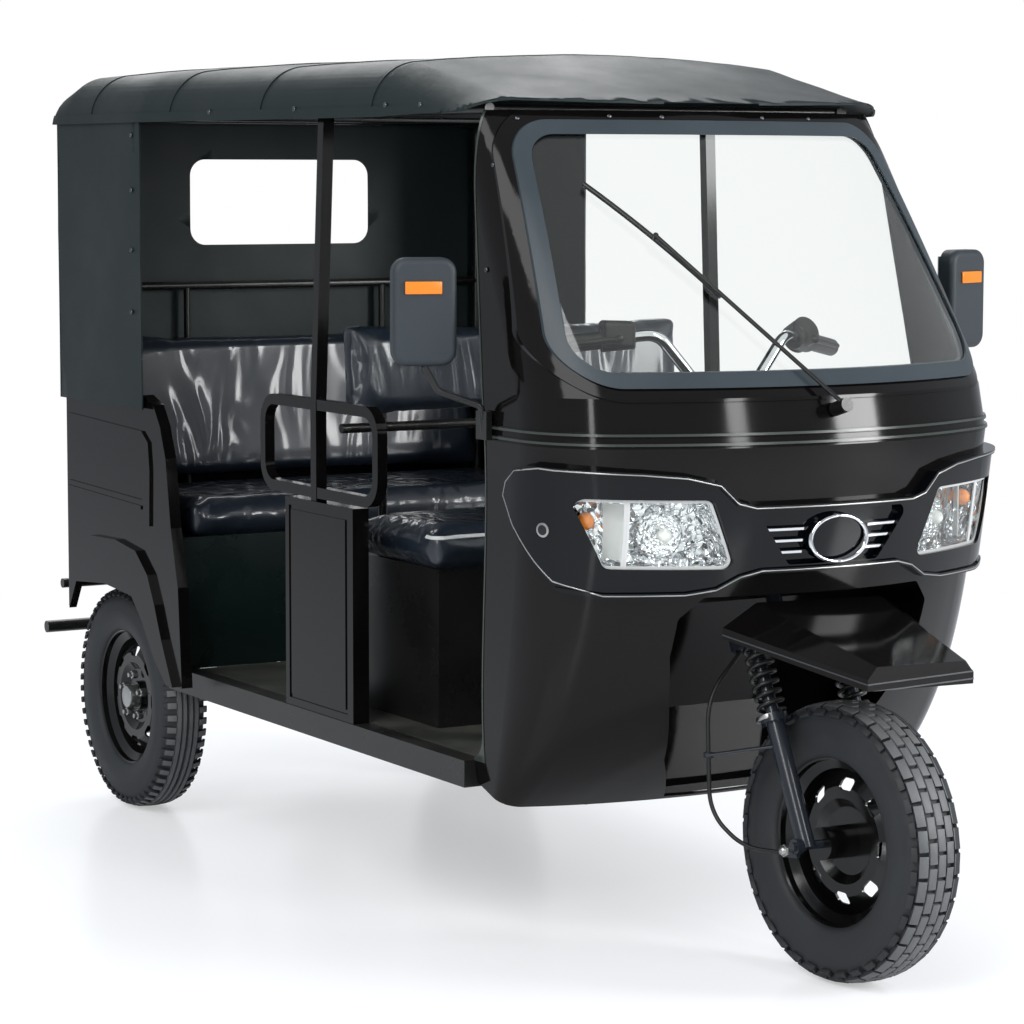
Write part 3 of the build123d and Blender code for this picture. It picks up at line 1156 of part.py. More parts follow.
def build():
    """Every sub-part of the vehicle, by name."""
    parts = {
        "chassis_frame": chassis_frame(),
        "floor_pan": floor_pan(),
        "lower_cowl": lower_cowl(),
        "upper_cowl": upper_cowl(),
        "windscreen_seal": windscreen_seal(),
        "windscreen_glass": windscreen_glass(),
        "lamp_bezel": lamp_bezel(),
        "headlamps": headlamps(),
        "grille": grille(),
        "wiper": wiper(),
        "wheel_housing": wheel_housing(),
        "rear_panel": rear_panel(),
        "rear_tub": rear_tub(),
        "roof_canopy": roof_canopy(),
        "rear_curtain": rear_curtain(),
        "roof_frame": roof_frame(),
        "mirror_arms": mirror_arms(),
        "rear_bumper": rear_bumper(),
        "tail_lamps": tail_lamps(),
        "rear_axle": rear_axle(),
        "leaf_springs": leaf_springs(),
        "battery_box": battery_box(),
        "driver_back_frame": driver_back_frame(),
    }
    bench_low, seat_low = BENCH_TOP_Z - BENCH_THICK, DRIVER_SEAT_TOP_Z - DRIVER_SEAT_THICK
    parts["bench_cushion"] = cushion(-60, BENCH_FRONT_X, BENCH_HALF, bench_low, BENCH_TOP_Z, 18)
    parts["bench_backrest"] = leaning_pad(
        BENCH_BACK_FOOT_X, BENCH_BACK_TOP_X, BENCH_HALF, BENCH_TOP_Z + FIT, BACKREST_TOP_Z, BACKREST_THICK, 18
    )
    parts["driver_cushion"] = cushion(
        DRIVER_SEAT_REAR_X, DRIVER_SEAT_FRONT_X, DRIVER_SEAT_HALF, seat_low, DRIVER_SEAT_TOP_Z, 22
    )
    parts["driver_backrest"] = leaning_pad(
        DRIVER_BACK_FOOT_X, DRIVER_BACK_TOP_X, DRIVER_SEAT_HALF, DRIVER_BACK_LOW_Z, DRIVER_BACK_TOP_Z,
        DRIVER_BACK_THICK, 14,
    )
    for side, sign in SIDES:
        parts[f"quarter_panel_{side}"] = quarter_panel(sign)
        parts[f"side_post_{side}"] = side_post(sign)
        parts[f"mirror_{side}"] = mirror_shell(sign)
        parts[f"rear_tyre_{side}"] = Pos(0, sign * TRACK / 2, TYRE_RADIUS) * wheel_tyre()
        parts[f"rear_rim_{side}"] = rear_wheel(sign)
    hub = Pos(WHEELBASE, 0, TYRE_RADIUS)
    steering = {
        "fork": fork(),
        "fork_springs": fork_springs(),
        "front_mudguard": front_mudguard(),
        "handlebar": handlebar(),
        "hand_controls": hand_controls(),
        "brake_cable": brake_cable(),
        "front_tyre": hub * wheel_tyre(),
        "front_rim": hub * mirror(wheel_rim(8, FRONT_DISH, HUB_RADIUS + FIT), about=Plane.XZ),
        "front_drum": hub * front_drum(),
    }
    parts.update({name: steered(piece) for name, piece in steering.items()})
    return parts


for name, piece in build().items():
    export_step(Pos(-FOOTPRINT_CENTRE_X, 0, 0) * piece, f"parts/{name}.step")
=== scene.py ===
"""Electric auto rickshaw: finishes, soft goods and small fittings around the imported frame."""
import json
from math import cos, pi, radians, sin

import bmesh
import bpy
from mathutils import Euler, Matrix, Vector


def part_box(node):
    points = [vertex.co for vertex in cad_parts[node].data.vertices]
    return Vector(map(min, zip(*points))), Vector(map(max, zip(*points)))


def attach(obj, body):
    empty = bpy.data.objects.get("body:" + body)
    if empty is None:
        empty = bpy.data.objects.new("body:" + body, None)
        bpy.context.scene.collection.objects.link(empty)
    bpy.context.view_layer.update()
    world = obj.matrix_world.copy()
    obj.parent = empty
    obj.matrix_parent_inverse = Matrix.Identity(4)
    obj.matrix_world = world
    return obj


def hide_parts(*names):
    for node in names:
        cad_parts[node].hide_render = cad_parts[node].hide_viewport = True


bl_info = {
    "name": "Auto rickshaw dresser",
    "version": (1, 0, 0),
    "blender": (4, 5, 0),
    "location": "View3D > Sidebar > Rickshaw",
    "description": "Finishes, cushions, canvas and fittings of an electric auto rickshaw",
    "category": "Object",
}

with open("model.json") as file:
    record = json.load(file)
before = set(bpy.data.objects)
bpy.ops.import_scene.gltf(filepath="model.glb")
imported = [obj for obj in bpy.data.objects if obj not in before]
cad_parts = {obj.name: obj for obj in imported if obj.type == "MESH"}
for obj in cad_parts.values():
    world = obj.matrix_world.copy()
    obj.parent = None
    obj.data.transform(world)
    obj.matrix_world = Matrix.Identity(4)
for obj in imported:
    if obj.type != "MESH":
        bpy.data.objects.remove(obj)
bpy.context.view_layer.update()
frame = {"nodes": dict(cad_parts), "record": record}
NODES = frame["nodes"]
SIDES = (("left", 1), ("right", -1))
JOINTS = {row["name"]: row for row in frame["record"]["behaviour"]["joints"]}
GROUPS = {}
MATERIALS = {}


# ------ sizes and colours a user may change
class RickshawStage(bpy.types.PropertyGroup):
    """Camera, floor and lamps."""
    camera_place: bpy.props.FloatVectorProperty(
        name="Camera place", description="Where the camera stands", size=3, subtype="XYZ", unit="LENGTH",
        default=(5.6567, -3.4081, 1.4649))
    camera_yaw: bpy.props.FloatProperty(
        name="Camera yaw", description="Heading of the view, from +X towards +Y", subtype="ANGLE",
        default=radians(149.437))
    camera_pitch: bpy.props.FloatProperty(
        name="Camera pitch", description="Slope of the view", subtype="ANGLE", default=radians(-6.175))
    camera_roll: bpy.props.FloatProperty(
        name="Camera roll", description="Roll about the view", subtype="ANGLE", default=radians(0.11))
    camera_lens: bpy.props.FloatProperty(
        name="Lens", description="Focal length on a 36 mm sensor", default=111.97, unit="CAMERA")
    floor_colour: bpy.props.FloatVectorProperty(
        name="Floor", description="Colour of the studio floor", subtype="COLOR",
        default=(0.82, 0.83, 0.85))
    key_power: bpy.props.FloatProperty(name="Key lamp", description="Power of the large lamp", default=260.0)
    fill_power: bpy.props.FloatProperty(name="Fill lamp", description="Power of the side lamp", default=260.0)
    strip_power: bpy.props.FloatProperty(
        name="Strip lamps", description="Power of the narrow lamps", default=70.0)


class RickshawPaint(bpy.types.PropertyGroup):
    """Colours of the finishes."""
    body: bpy.props.FloatVectorProperty(
        name="Body enamel", description="Gloss enamel of the cab and panels", subtype="COLOR",
        default=(0.0035, 0.003, 0.003))
    metal: bpy.props.FloatVectorProperty(
        name="Frame enamel", description="Satin enamel of tubes and rails", subtype="COLOR",
        default=(0.006, 0.006, 0.006))
    canvas: bpy.props.FloatVectorProperty(
        name="Canvas", description="Coated roof cloth", subtype="COLOR",
        default=(0.006, 0.014, 0.015))
    seat: bpy.props.FloatVectorProperty(
        name="Seat vinyl", description="Cover of the benches", subtype="COLOR",
        default=(0.006, 0.011, 0.019))
    rubber: bpy.props.FloatVectorProperty(
        name="Seal rubber", description="Windscreen seal", subtype="COLOR",
        default=(0.030, 0.042, 0.050))
    tyre: bpy.props.FloatVectorProperty(
        name="Tyre rubber", description="Tyres", subtype="COLOR", default=(0.017, 0.019, 0.021))
    mirror: bpy.props.FloatVectorProperty(
        name="Mirror shell", description="Mirror housings", subtype="COLOR",
        default=(0.020, 0.028, 0.034))
    amber: bpy.props.FloatVectorProperty(
        name="Amber", description="Markers and indicator bulbs", subtype="COLOR",
        default=(0.85, 0.23, 0.02))


# ------ node groups shared by the finishes
def sockets(group, inputs, outputs):
    """Names a group's sockets: (name, kind, default) rows in, (name, kind) rows out."""
    for name, kind, default in inputs:
        socket = group.interface.new_socket(name=name, in_out="INPUT", socket_type="NodeSocket" + kind)
        socket.default_value = default
    for name, kind in outputs:
        group.interface.new_socket(name=name, in_out="OUTPUT", socket_type="NodeSocket" + kind)


def new_group(name, inputs, outputs):
    """An empty node group and its input and output nodes."""
    group = bpy.data.node_groups.new(name, "ShaderNodeTree")
    sockets(group, inputs, outputs)
    return group, group.nodes.new("NodeGroupInput"), group.nodes.new("NodeGroupOutput")


def add_node(tree, kind, settings=None, **values):
    """A node with its settings, and with values or links on its inputs, named or numbered as i0, i1."""
    node = tree.nodes.new("ShaderNode" + kind)
    for key, value in (settings or {}).items():
        setattr(node, key, value)
    for key, value in values.items():
        numbered = key[0] == "i" and key[1:].isdigit()
        socket = node.inputs[int(key[1:]) if numbered else key.replace("_", " ")]
        if isinstance(value, bpy.types.NodeSocket):
            tree.links.new(value, socket)
        else:
            socket.default_value = value
    return node


def multiplied(tree, first, second):
    """The product of two sockets or values."""
    return add_node(tree, "Math", {"operation": "MULTIPLY"}, i0=first, i1=second).outputs[0]


def grain_group():
    """Fine grain and slow blotches: a height for bump, and a mask for colour and roughness."""
    group, given, result = new_group(
        "grain",
        [("Scale", "Float", 900.0), ("Blotch scale", "Float", 4.0)],
        [("Height", "Float"), ("Blotches", "Float")],
    )
    place = add_node(group, "TexCoord")
    spots = place.outputs["Object"]
    fine = add_node(group, "TexNoise", Vector=spots, Scale=given.outputs["Scale"], Detail=4.0)
    slow = add_node(
        group, "TexNoise", Vector=spots, Scale=given.outputs["Blotch scale"], Detail=5.0, Roughness=0.6)
    group.links.new(fine.outputs[0], result.inputs["Height"])
    group.links.new(slow.outputs[0], result.inputs["Blotches"])
    return group


DUST_PATCHES = 6.0           # patches of dust to a metre
DUST_COLOUR = (0.16, 0.15, 0.13, 1.0)
DUST_ROUGHNESS = 0.85


def dust_group():
    """A mask of settled dust: more on faces that look up, broken by noise."""
    group, given, result = new_group("dust", [("Amount", "Float", 0.3)], [("Mask", "Float")])
    geometry = add_node(group, "NewGeometry")
    place = add_node(group, "TexCoord")
    up = add_node(group, "SeparateXYZ", i0=geometry.outputs["Normal"])
    noise = add_node(group, "TexNoise", Vector=place.outputs["Object"], Scale=DUST_PATCHES, Detail=6.0)
    lifted = add_node(group, "MapRange", Value=up.outputs["Z"], i1=-0.2, i2=1.0)
    patch = add_node(group, "MapRange", Value=noise.outputs[0], i1=0.35, i2=0.75)
    product = multiplied(group, lifted.outputs[0], patch.outputs[0])
    group.links.new(multiplied(group, product, given.outputs["Amount"]), result.inputs["Mask"])
    return group


def set_inputs(node, **values):
    """Sets a node's named inputs."""
    for key, value in values.items():
        node.inputs[key.replace("_", " ")].default_value = value


def placed_group(tree, name, **values):
    """A shared group placed in a material with its own values."""
    node = tree.nodes.new("ShaderNodeGroup")
    node.node_tree = GROUPS[name]
    set_inputs(node, **values)
    return node


def principled(name):
    """A new material, its node tree and its shader node."""
    material = bpy.data.materials.new(name)
    material.use_nodes = True
    return material, material.node_tree, material.node_tree.nodes["Principled BSDF"]


def finish(name, colour, roughness, grain, bump, blotch, metallic=0.0, tint=None, dust=0.0, blotch_scale=4.0,
           **shader):
    """A finish: base colour varied by blotches, roughness varied the same way, grain as bump, dust on top."""
    material, tree, bsdf = principled(name)
    set_inputs(bsdf, Metallic=metallic, **shader)
    noise = placed_group(tree, "grain", Scale=grain, Blotch_scale=blotch_scale)
    blotches = noise.outputs["Blotches"]
    dark = (*colour, 1.0)
    light = (*(tint or [min(1.0, c * 1.6 + 0.002) for c in colour]), 1.0)
    mask = add_node(tree, "MapRange", Value=blotches, i1=0.35, i2=0.7, i4=min(1.0, blotch * 4))
    mix = add_node(tree, "Mix", {"data_type": "RGBA"}, i0=mask.outputs[0], i6=dark, i7=light)
    rough = add_node(
        tree, "MapRange", Value=blotches, i1=0.3, i2=0.7,
        i3=max(0.02, roughness - blotch * 0.5), i4=min(1.0, roughness + blotch * 0.5))
    colour_out, rough_out = mix.outputs[2], rough.outputs[0]
    if dust:
        mask = placed_group(tree, "dust", Amount=dust)
        over = add_node(tree, "Mix", {"data_type": "RGBA"}, i0=mask.outputs[0], i6=colour_out, i7=DUST_COLOUR)
        matt = add_node(
            tree, "Mix", {"data_type": "FLOAT"}, i0=mask.outputs[0], i2=rough_out, i3=DUST_ROUGHNESS)
        colour_out, rough_out = over.outputs[2], matt.outputs[0]
    tree.links.new(colour_out, bsdf.inputs["Base Color"])
    tree.links.new(rough_out, bsdf.inputs["Roughness"])
    relief = add_node(tree, "Bump", Height=noise.outputs["Height"], Strength=bump, Distance=0.001)
    tree.links.new(relief.outputs[0], bsdf.inputs["Normal"])
    return material


COAT_IOR = 1.45
GLASS_COLOUR = (0.93, 0.96, 0.95, 1.0)


def faceted(name, colour, scale, strength):
    """A bright reflector pressed into facets."""
    material = finish(name, colour, 0.06, 100, 0.0, 0.03, metallic=1.0)
    tree = material.node_tree
    place = add_node(tree, "TexCoord")
    cells = add_node(tree, "TexVoronoi", {"feature": "F1"}, Vector=place.outputs["Object"], Scale=scale)
    relief = add_node(tree, "Bump", Height=cells.outputs["Distance"], Strength=strength, Distance=0.01)
    tree.links.new(relief.outputs[0], tree.nodes["Principled BSDF"].inputs["Normal"])
    return material


def filmed(name, colour):
    """Vinyl under a loose, wrinkled clear film: a soft base, and a sharp coat with its own relief."""
    material = finish(name, colour, 0.45, 900, 0.2, 0.15)
    tree = material.node_tree
    bsdf = tree.nodes["Principled BSDF"]
    place = add_node(tree, "TexCoord")
    stretched = add_node(
        tree, "Mapping", i0=place.outputs["Object"], Rotation=(0.3, 0.5, 0.2), Scale=(1.0, 1.0, 0.35))
    folds = add_node(tree, "TexNoise", {"noise_type": "RIDGED_MULTIFRACTAL"}, Vector=stretched.outputs[0],
                     Scale=9.0, Detail=3.0, Distortion=1.6)
    relief = add_node(tree, "Bump", Height=folds.outputs[0], Strength=0.75, Distance=0.02)
    set_inputs(bsdf, Coat_Weight=0.75, Coat_Roughness=0.12, Coat_IOR=COAT_IOR)
    tree.links.new(relief.outputs[0], bsdf.inputs["Coat Normal"])
    return material


def glass(name):
    """Thin clear glass: a see-through sheet with a sharp gloss and faint smears."""
    material, tree, bsdf = principled(name)
    set_inputs(bsdf, Base_Color=GLASS_COLOUR, Transmission_Weight=1.0, IOR=1.02, Coat_Weight=1.0,
               Coat_Roughness=0.02, Coat_IOR=COAT_IOR)
    noise = placed_group(tree, "grain", Scale=60.0, Blotch_scale=3.0)
    rough = add_node(tree, "MapRange", Value=noise.outputs["Blotches"], i1=0.5, i2=0.9, i3=0.0, i4=0.05)
    tree.links.new(rough.outputs[0], bsdf.inputs["Roughness"])
    return material


# name, colour (or the setting that holds it), roughness, grains to a metre, bump, blotch, the rest
FINISHES = (
    ("body_paint", "body", 0.09, 350, 0.02, 0.05, {"IOR": 1.33}),
    ("frame_paint", "metal", 0.28, 500, 0.04, 0.12, {"dust": 0.2}),
    ("canvas", "canvas", 0.5, 1400, 0.3, 0.2, {"blotch_scale": 2.5, "tint": (0.01, 0.019, 0.018),
                                               "IOR": 1.38}),
    ("seal_rubber", "rubber", 0.42, 1200, 0.08, 0.1, {}),
    ("chrome", (0.75, 0.76, 0.78), 0.08, 300, 0.01, 0.05, {"metallic": 1.0}),
    ("mirror_plastic", "mirror", 0.5, 2200, 0.25, 0.1, {}),
    ("bezel_plastic", (0.0012, 0.0022, 0.0035), 0.06, 400, 0.01, 0.03, {"IOR": 1.36}),
    ("floor_rubber", (0.010, 0.013, 0.010), 0.45, 700, 0.2, 0.2, {"tint": (0.03, 0.04, 0.028), "dust": 0.4}),
    ("tyre", "tyre", 0.62, 1200, 0.2, 0.15, {"tint": (0.035, 0.04, 0.045)}),
    # the pale grey of the tread tops is a painted highlight
    ("tread_highlight", (0.10, 0.105, 0.11), 0.5, 1500, 0.3, 0.2, {"tint": (0.22, 0.22, 0.22)}),
    ("wheel_paint", (0.003, 0.003, 0.003), 0.16, 400, 0.03, 0.08, {}),
    ("steel", (0.42, 0.42, 0.41), 0.32, 700, 0.1, 0.15, {"metallic": 1.0}),
    ("fork_steel", (0.016, 0.020, 0.026), 0.2, 600, 0.04, 0.08, {}),
    ("cable", (0.006, 0.006, 0.006), 0.42, 1500, 0.1, 0.1, {}),
    ("tail_lens", (0.30, 0.004, 0.004), 0.12, 200, 0.02, 0.05, {}),
    ("piping", (0.55, 0.56, 0.55), 0.4, 900, 0.1, 0.1, {}),
    ("amber", "amber", 0.25, 300, 0.02, 0.05, {}),
    ("mirror_glass", (0.85, 0.86, 0.87), 0.03, 100, 0.0, 0.03, {"metallic": 1.0}),
    # a lighter green painted as highlight lines on the waist beads and the cab's rear edges
    ("bead_highlight", (0.030, 0.038, 0.032), 0.22, 300, 0.03, 0.15, {}),
    ("lamp_rim", (0.62, 0.63, 0.62), 0.2, 300, 0.01, 0.05, {}),
    ("bulb_glass", (0.9, 0.9, 0.86), 0.1, 100, 0.01, 0.03, {}),
    ("steel_dark", (0.10, 0.105, 0.11), 0.3, 500, 0.05, 0.1, {"metallic": 1.0}),
    ("tub_paint", (0.003, 0.009, 0.008), 0.3, 300, 0.03, 0.1, {}),
    ("motor_alloy", (0.05, 0.05, 0.052), 0.5, 500, 0.3, 0.15, {"metallic": 0.3, "dust": 0.3}),
)
OWN_FINISH = {"rear_tub": "tub_paint"}
# pressed panels whose sharp edges are softened: node, width of the bevel
SOFT_EDGES = (
    ("front_mudguard", 0.0035), ("lamp_bezel", 0.002), ("battery_box", 0.003), ("rear_panel", 0.002),
    ("quarter_panel_left", 0.0025), ("quarter_panel_right", 0.0025), ("side_post_left", 0.002),
    ("side_post_right", 0.002), ("chassis_frame", 0.002), ("lower_cowl", 0.0015),
)
EDGE_ANGLE = 32.0


class RICKSHAW_OT_finishes(bpy.types.Operator):
    """Builds every finish and gives each carried-over node its own."""
    bl_idname = "rickshaw.finishes"
    bl_label = "Finishes"

    def execute(self, context):
        paint = context.scene.rickshaw_paint
        GROUPS.update(grain=grain_group(), dust=dust_group())
        for name, colour, *numbers, settings in FINISHES:
            shade = getattr(paint, colour) if isinstance(colour, str) else colour
            MATERIALS[name] = finish(name, shade, *numbers, **settings)
        MATERIALS.update(
            screen_glass=glass("screen_glass"), lamp_lens=glass("lamp_lens"),
            seat_vinyl=filmed("seat_vinyl", paint.seat),
            reflector=faceted("reflector", (0.80, 0.81, 0.83), 55.0, 1.0),
            lamp_bowl=faceted("lamp_bowl", (0.85, 0.86, 0.88), 140.0, 0.6),
        )
        for row in frame["record"]["subparts"]:
            node = NODES[row["node"]]
            node.data.materials.clear()
            node.data.materials.append(MATERIALS[OWN_FINISH.get(row["node"], row["material_slot"])])
        for name, width in SOFT_EDGES:
            bevel = NODES[name].modifiers.new("soft_edges", "BEVEL")
            bevel.width = width
            bevel.segments = 2
            bevel.limit_method = "ANGLE"
            bevel.angle_limit = radians(EDGE_ANGLE)
        return {"FINISHED"}


# ------ ways of making pieces
SPIN_WELD = 0.00005
TREAD_BEVEL = 0.0012


def set_mode(mode):
    """Changes between EDIT and OBJECT mode."""
    bpy.ops.object.mode_set(mode=mode)


def only(obj):
    """Selects one object and nothing else."""
    if bpy.context.object and bpy.context.object.mode != "OBJECT":
        set_mode("OBJECT")
    bpy.ops.object.select_all(action="DESELECT")
    obj.select_set(True)
    bpy.context.view_layer.objects.active = obj
    return obj


def shaped(obj, kind, **settings):
    """Adds one modifier with its settings and applies it."""
    only(obj)
    modifier = obj.modifiers.new(kind.lower(), kind)
    for key, value in settings.items():
        setattr(modifier, key, value)
    bpy.ops.object.modifier_apply(modifier=modifier.name)
    return obj


def settle(obj, name, finish_name, body="chassis", smooth=35.0):
    """Gives a finished piece its name, finish, smoothing and body, with its place in its mesh."""
    only(obj)
    bpy.ops.object.transform_apply(location=True, rotation=True, scale=True)
    obj.name = obj.data.name = name
    obj.data.materials.clear()
    obj.data.materials.append(MATERIALS[finish_name])
    bpy.ops.object.shade_smooth_by_angle(angle=radians(smooth))
    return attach(obj, body)


def copied(source, name):
    """A loose copy of an object, with its own mesh."""
    obj = bpy.data.objects.new(name, source.data.copy())
    bpy.context.scene.collection.objects.link(obj)
    return only(obj)


def joined(pieces):
    """The pieces as one object."""
    only(pieces[0])
    for piece in pieces:
        piece.select_set(True)
    bpy.ops.object.join()
    return bpy.context.object


def delete_faces(obj, unwanted):
    """Deletes the faces for which unwanted(centre, normal) is true."""
    only(obj)
    chosen = [unwanted(face.center.copy(), face.normal.copy()) for face in obj.data.polygons]
    set_mode("EDIT")
    bpy.ops.mesh.select_mode(type="FACE")
    bpy.ops.mesh.select_all(action="DESELECT")
    set_mode("OBJECT")
    obj.data.polygons.foreach_set("select", chosen)
    set_mode("EDIT")
    bpy.ops.mesh.delete(type="FACE")
    set_mode("OBJECT")
    return obj


def edited(obj, operator, **settings):
    """Runs one edit-mode operator on the whole mesh."""
    only(obj)
    set_mode("EDIT")
    bpy.ops.mesh.select_all(action="SELECT")
    operator(**settings)
    set_mode("OBJECT")
    return obj


def cut(obj, *planes, clear=True):
    """Cuts along planes, given as (point, normal), and clears what lies beyond each."""
    only(obj)
    set_mode("EDIT")
    for point, normal in planes:
        bpy.ops.mesh.select_all(action="SELECT")
        bpy.ops.mesh.bisect(plane_co=point, plane_no=normal, clear_outer=clear)
    set_mode("OBJECT")
    return obj


def netted(obj, step):
    """Cuts a sheet into an even net, so that it can wave."""
    low = [min(v.co[axis] for v in obj.data.vertices) for axis in range(3)]
    high = [max(v.co[axis] for v in obj.data.vertices) for axis in range(3)]
    planes = []
    for axis in range(3):
        count = int((high[axis] - low[axis]) / step[axis])
        for index in range(1, count + 1):
            point, normal = [0.0, 0.0, 0.0], [0.0, 0.0, 0.0]
            point[axis], normal[axis] = low[axis] + index * (high[axis] - low[axis]) / (count + 1), 1.0
            planes.append((point, normal))
    return cut(obj, *planes, clear=False)


def slice_of(source, name, finish_name, planes, thickness, body="chassis", unwanted=None):
    """A thickened band cut out of a sheet or a solid's outside: a seam, a hem or a trim that follows it."""
    band = cut(copied(source, name), *planes)
    if unwanted:
        delete_faces(band, unwanted)
    shaped(band, "SOLIDIFY", thickness=thickness, offset=1.0)
    return settle(band, name, finish_name, body)


def level_band(low, high):
    """The two planes that keep what lies between two heights."""
    return ((0, 0, low), (0, 0, -1)), ((0, 0, high), (0, 0, 1))


def turned(points, steps):
    """A closed ring spun round the Y axis from a profile of (radius, offset along the axis) points."""
    bpy.ops.mesh.primitive_plane_add(size=0.001)
    obj = bpy.context.object
    mesh = bmesh.new()
    loop = [mesh.verts.new((radius, along, 0.0)) for radius, along in points]
    for a, b in zip(loop, loop[1:] + loop[:1]):
        mesh.edges.new((a, b))
    mesh.to_mesh(obj.data)
    mesh.free()
    only(obj)
    set_mode("EDIT")
    bpy.ops.mesh.select_all(action="SELECT")
    bpy.ops.mesh.spin(steps=steps, angle=2 * pi, center=(0, 0, 0), axis=(0, 1, 0))
    bpy.ops.mesh.select_all(action="SELECT")
    bpy.ops.mesh.remove_doubles(threshold=SPIN_WELD)
    bpy.ops.mesh.normals_make_consistent(inside=False)
    set_mode("OBJECT")
    return obj


def block_ring(long, wide, high, radius, across, slope, phase, count):
    """A ring of bevelled blocks round the Y axis, their outer faces at the given radius."""
    bpy.ops.mesh.primitive_cube_add(size=1.0)
    block = bpy.context.object
    block.scale = (high, wide, long)
    block.rotation_euler = (0.0, 0.0, slope)
    bpy.ops.object.transform_apply(location=False, rotation=True, scale=True)
    shaped(block, "BEVEL", width=TREAD_BEVEL, segments=2, limit_method="ANGLE")
    place, turn = Vector((radius - high / 2, across, 0.0)), Euler((0.0, phase * 2 * pi / count, 0.0))
    place.rotate(turn)
    block.location, block.rotation_euler = place, turn
    bpy.ops.object.transform_apply(location=True, rotation=True, scale=False)
    bpy.ops.object.empty_add(location=(0, 0, 0))
    step = bpy.context.object
    step.rotation_euler = (0.0, 2 * pi / count, 0.0)
    bpy.context.view_layer.update()
    shaped(block, "ARRAY", count=count, use_relative_offset=False, use_object_offset=True,
           offset_object=step)
    bpy.data.objects.remove(step)
    return block


def disc(size, place, toward):
    """A round or many-sided boss of (radius, depth, sides, softened edge), its axis toward a direction."""
    radius, depth, sides, edge = size
    bpy.ops.mesh.primitive_cylinder_add(radius=radius, depth=depth, vertices=sides, location=place)
    obj = bpy.context.object
    obj.rotation_euler = Vector(toward).to_track_quat("Z", "Y").to_euler()
    return shaped(obj, "BEVEL", width=edge, segments=2, limit_method="ANGLE")


def dome(radius, height, place, toward):
    """A low domed head."""
    bpy.ops.mesh.primitive_uv_sphere_add(segments=20, ring_count=12, radius=radius, location=place)
    obj = bpy.context.object
    obj.scale = (1.0, 1.0, height / radius)
    obj.rotation_euler = Vector(toward).to_track_quat("Z", "Y").to_euler()
    return obj


def slab(size, place, edge=0.0, turn=(0.0, 0.0, 0.0)):
    """A box, turned about its own middle, with softened edges where an edge is given."""
    bpy.ops.mesh.primitive_cube_add(size=1.0, location=place)
    obj = bpy.context.object
    obj.scale = size
    bpy.ops.object.transform_apply(location=False, rotation=False, scale=True)
    obj.rotation_euler = turn
    if edge:
        shaped(obj, "BEVEL", width=edge, segments=3, limit_method="ANGLE")
    return obj


def tube_along(spots, radius, sides):
    """A thin tube through points, extruded stretch by stretch."""
    way = (spots[1] - spots[0]).normalized()
    bpy.ops.mesh.primitive_circle_add(
        vertices=sides, radius=radius, fill_type="NGON", location=spots[0],
        rotation=way.to_track_quat("Z", "Y").to_euler())
    obj = bpy.context.object
    bpy.ops.object.transform_apply(location=True, rotation=True, scale=True)
    set_mode("EDIT")
    bpy.ops.mesh.select_mode(type="FACE")
    bpy.ops.mesh.select_all(action="SELECT")
    for here, there in zip(spots, spots[1:]):
        bpy.ops.mesh.extrude_region_move(TRANSFORM_OT_translate={"value": there - here})
    bpy.ops.mesh.select_all(action="SELECT")
    bpy.ops.mesh.normals_make_consistent(inside=False)
    set_mode("OBJECT")
    return obj


# ------ canvas
ROOF_SEAMS_X = (-0.995, -0.60, -0.22, 0.20)
SEAM_HALF = 0.007
ROOF_HEM, CURTAIN_HEM = 0.020, 0.022
HEM_THICK = 0.0025
CLOTH_THICK = 0.0014
WAVE = 0.004
ROOF_NET, CURTAIN_NET = (0.045, 0.045, 0.02), (0.05, 0.05, 0.05)
NET_WELD = 0.0003


def outer_faces(node, name, keep):
    """The outside of a canvas solid as one open sheet."""
    sheet = copied(NODES[node], name)
    return delete_faces(sheet, lambda centre, normal: not keep(centre, normal))


def waved(sheet, name, size):
    """Slow waves in a netted sheet."""
    texture = bpy.data.textures.new(name, "CLOUDS")
    texture.noise_scale = size
    return shaped(sheet, "DISPLACE", texture=texture, strength=WAVE, mid_level=0.6)


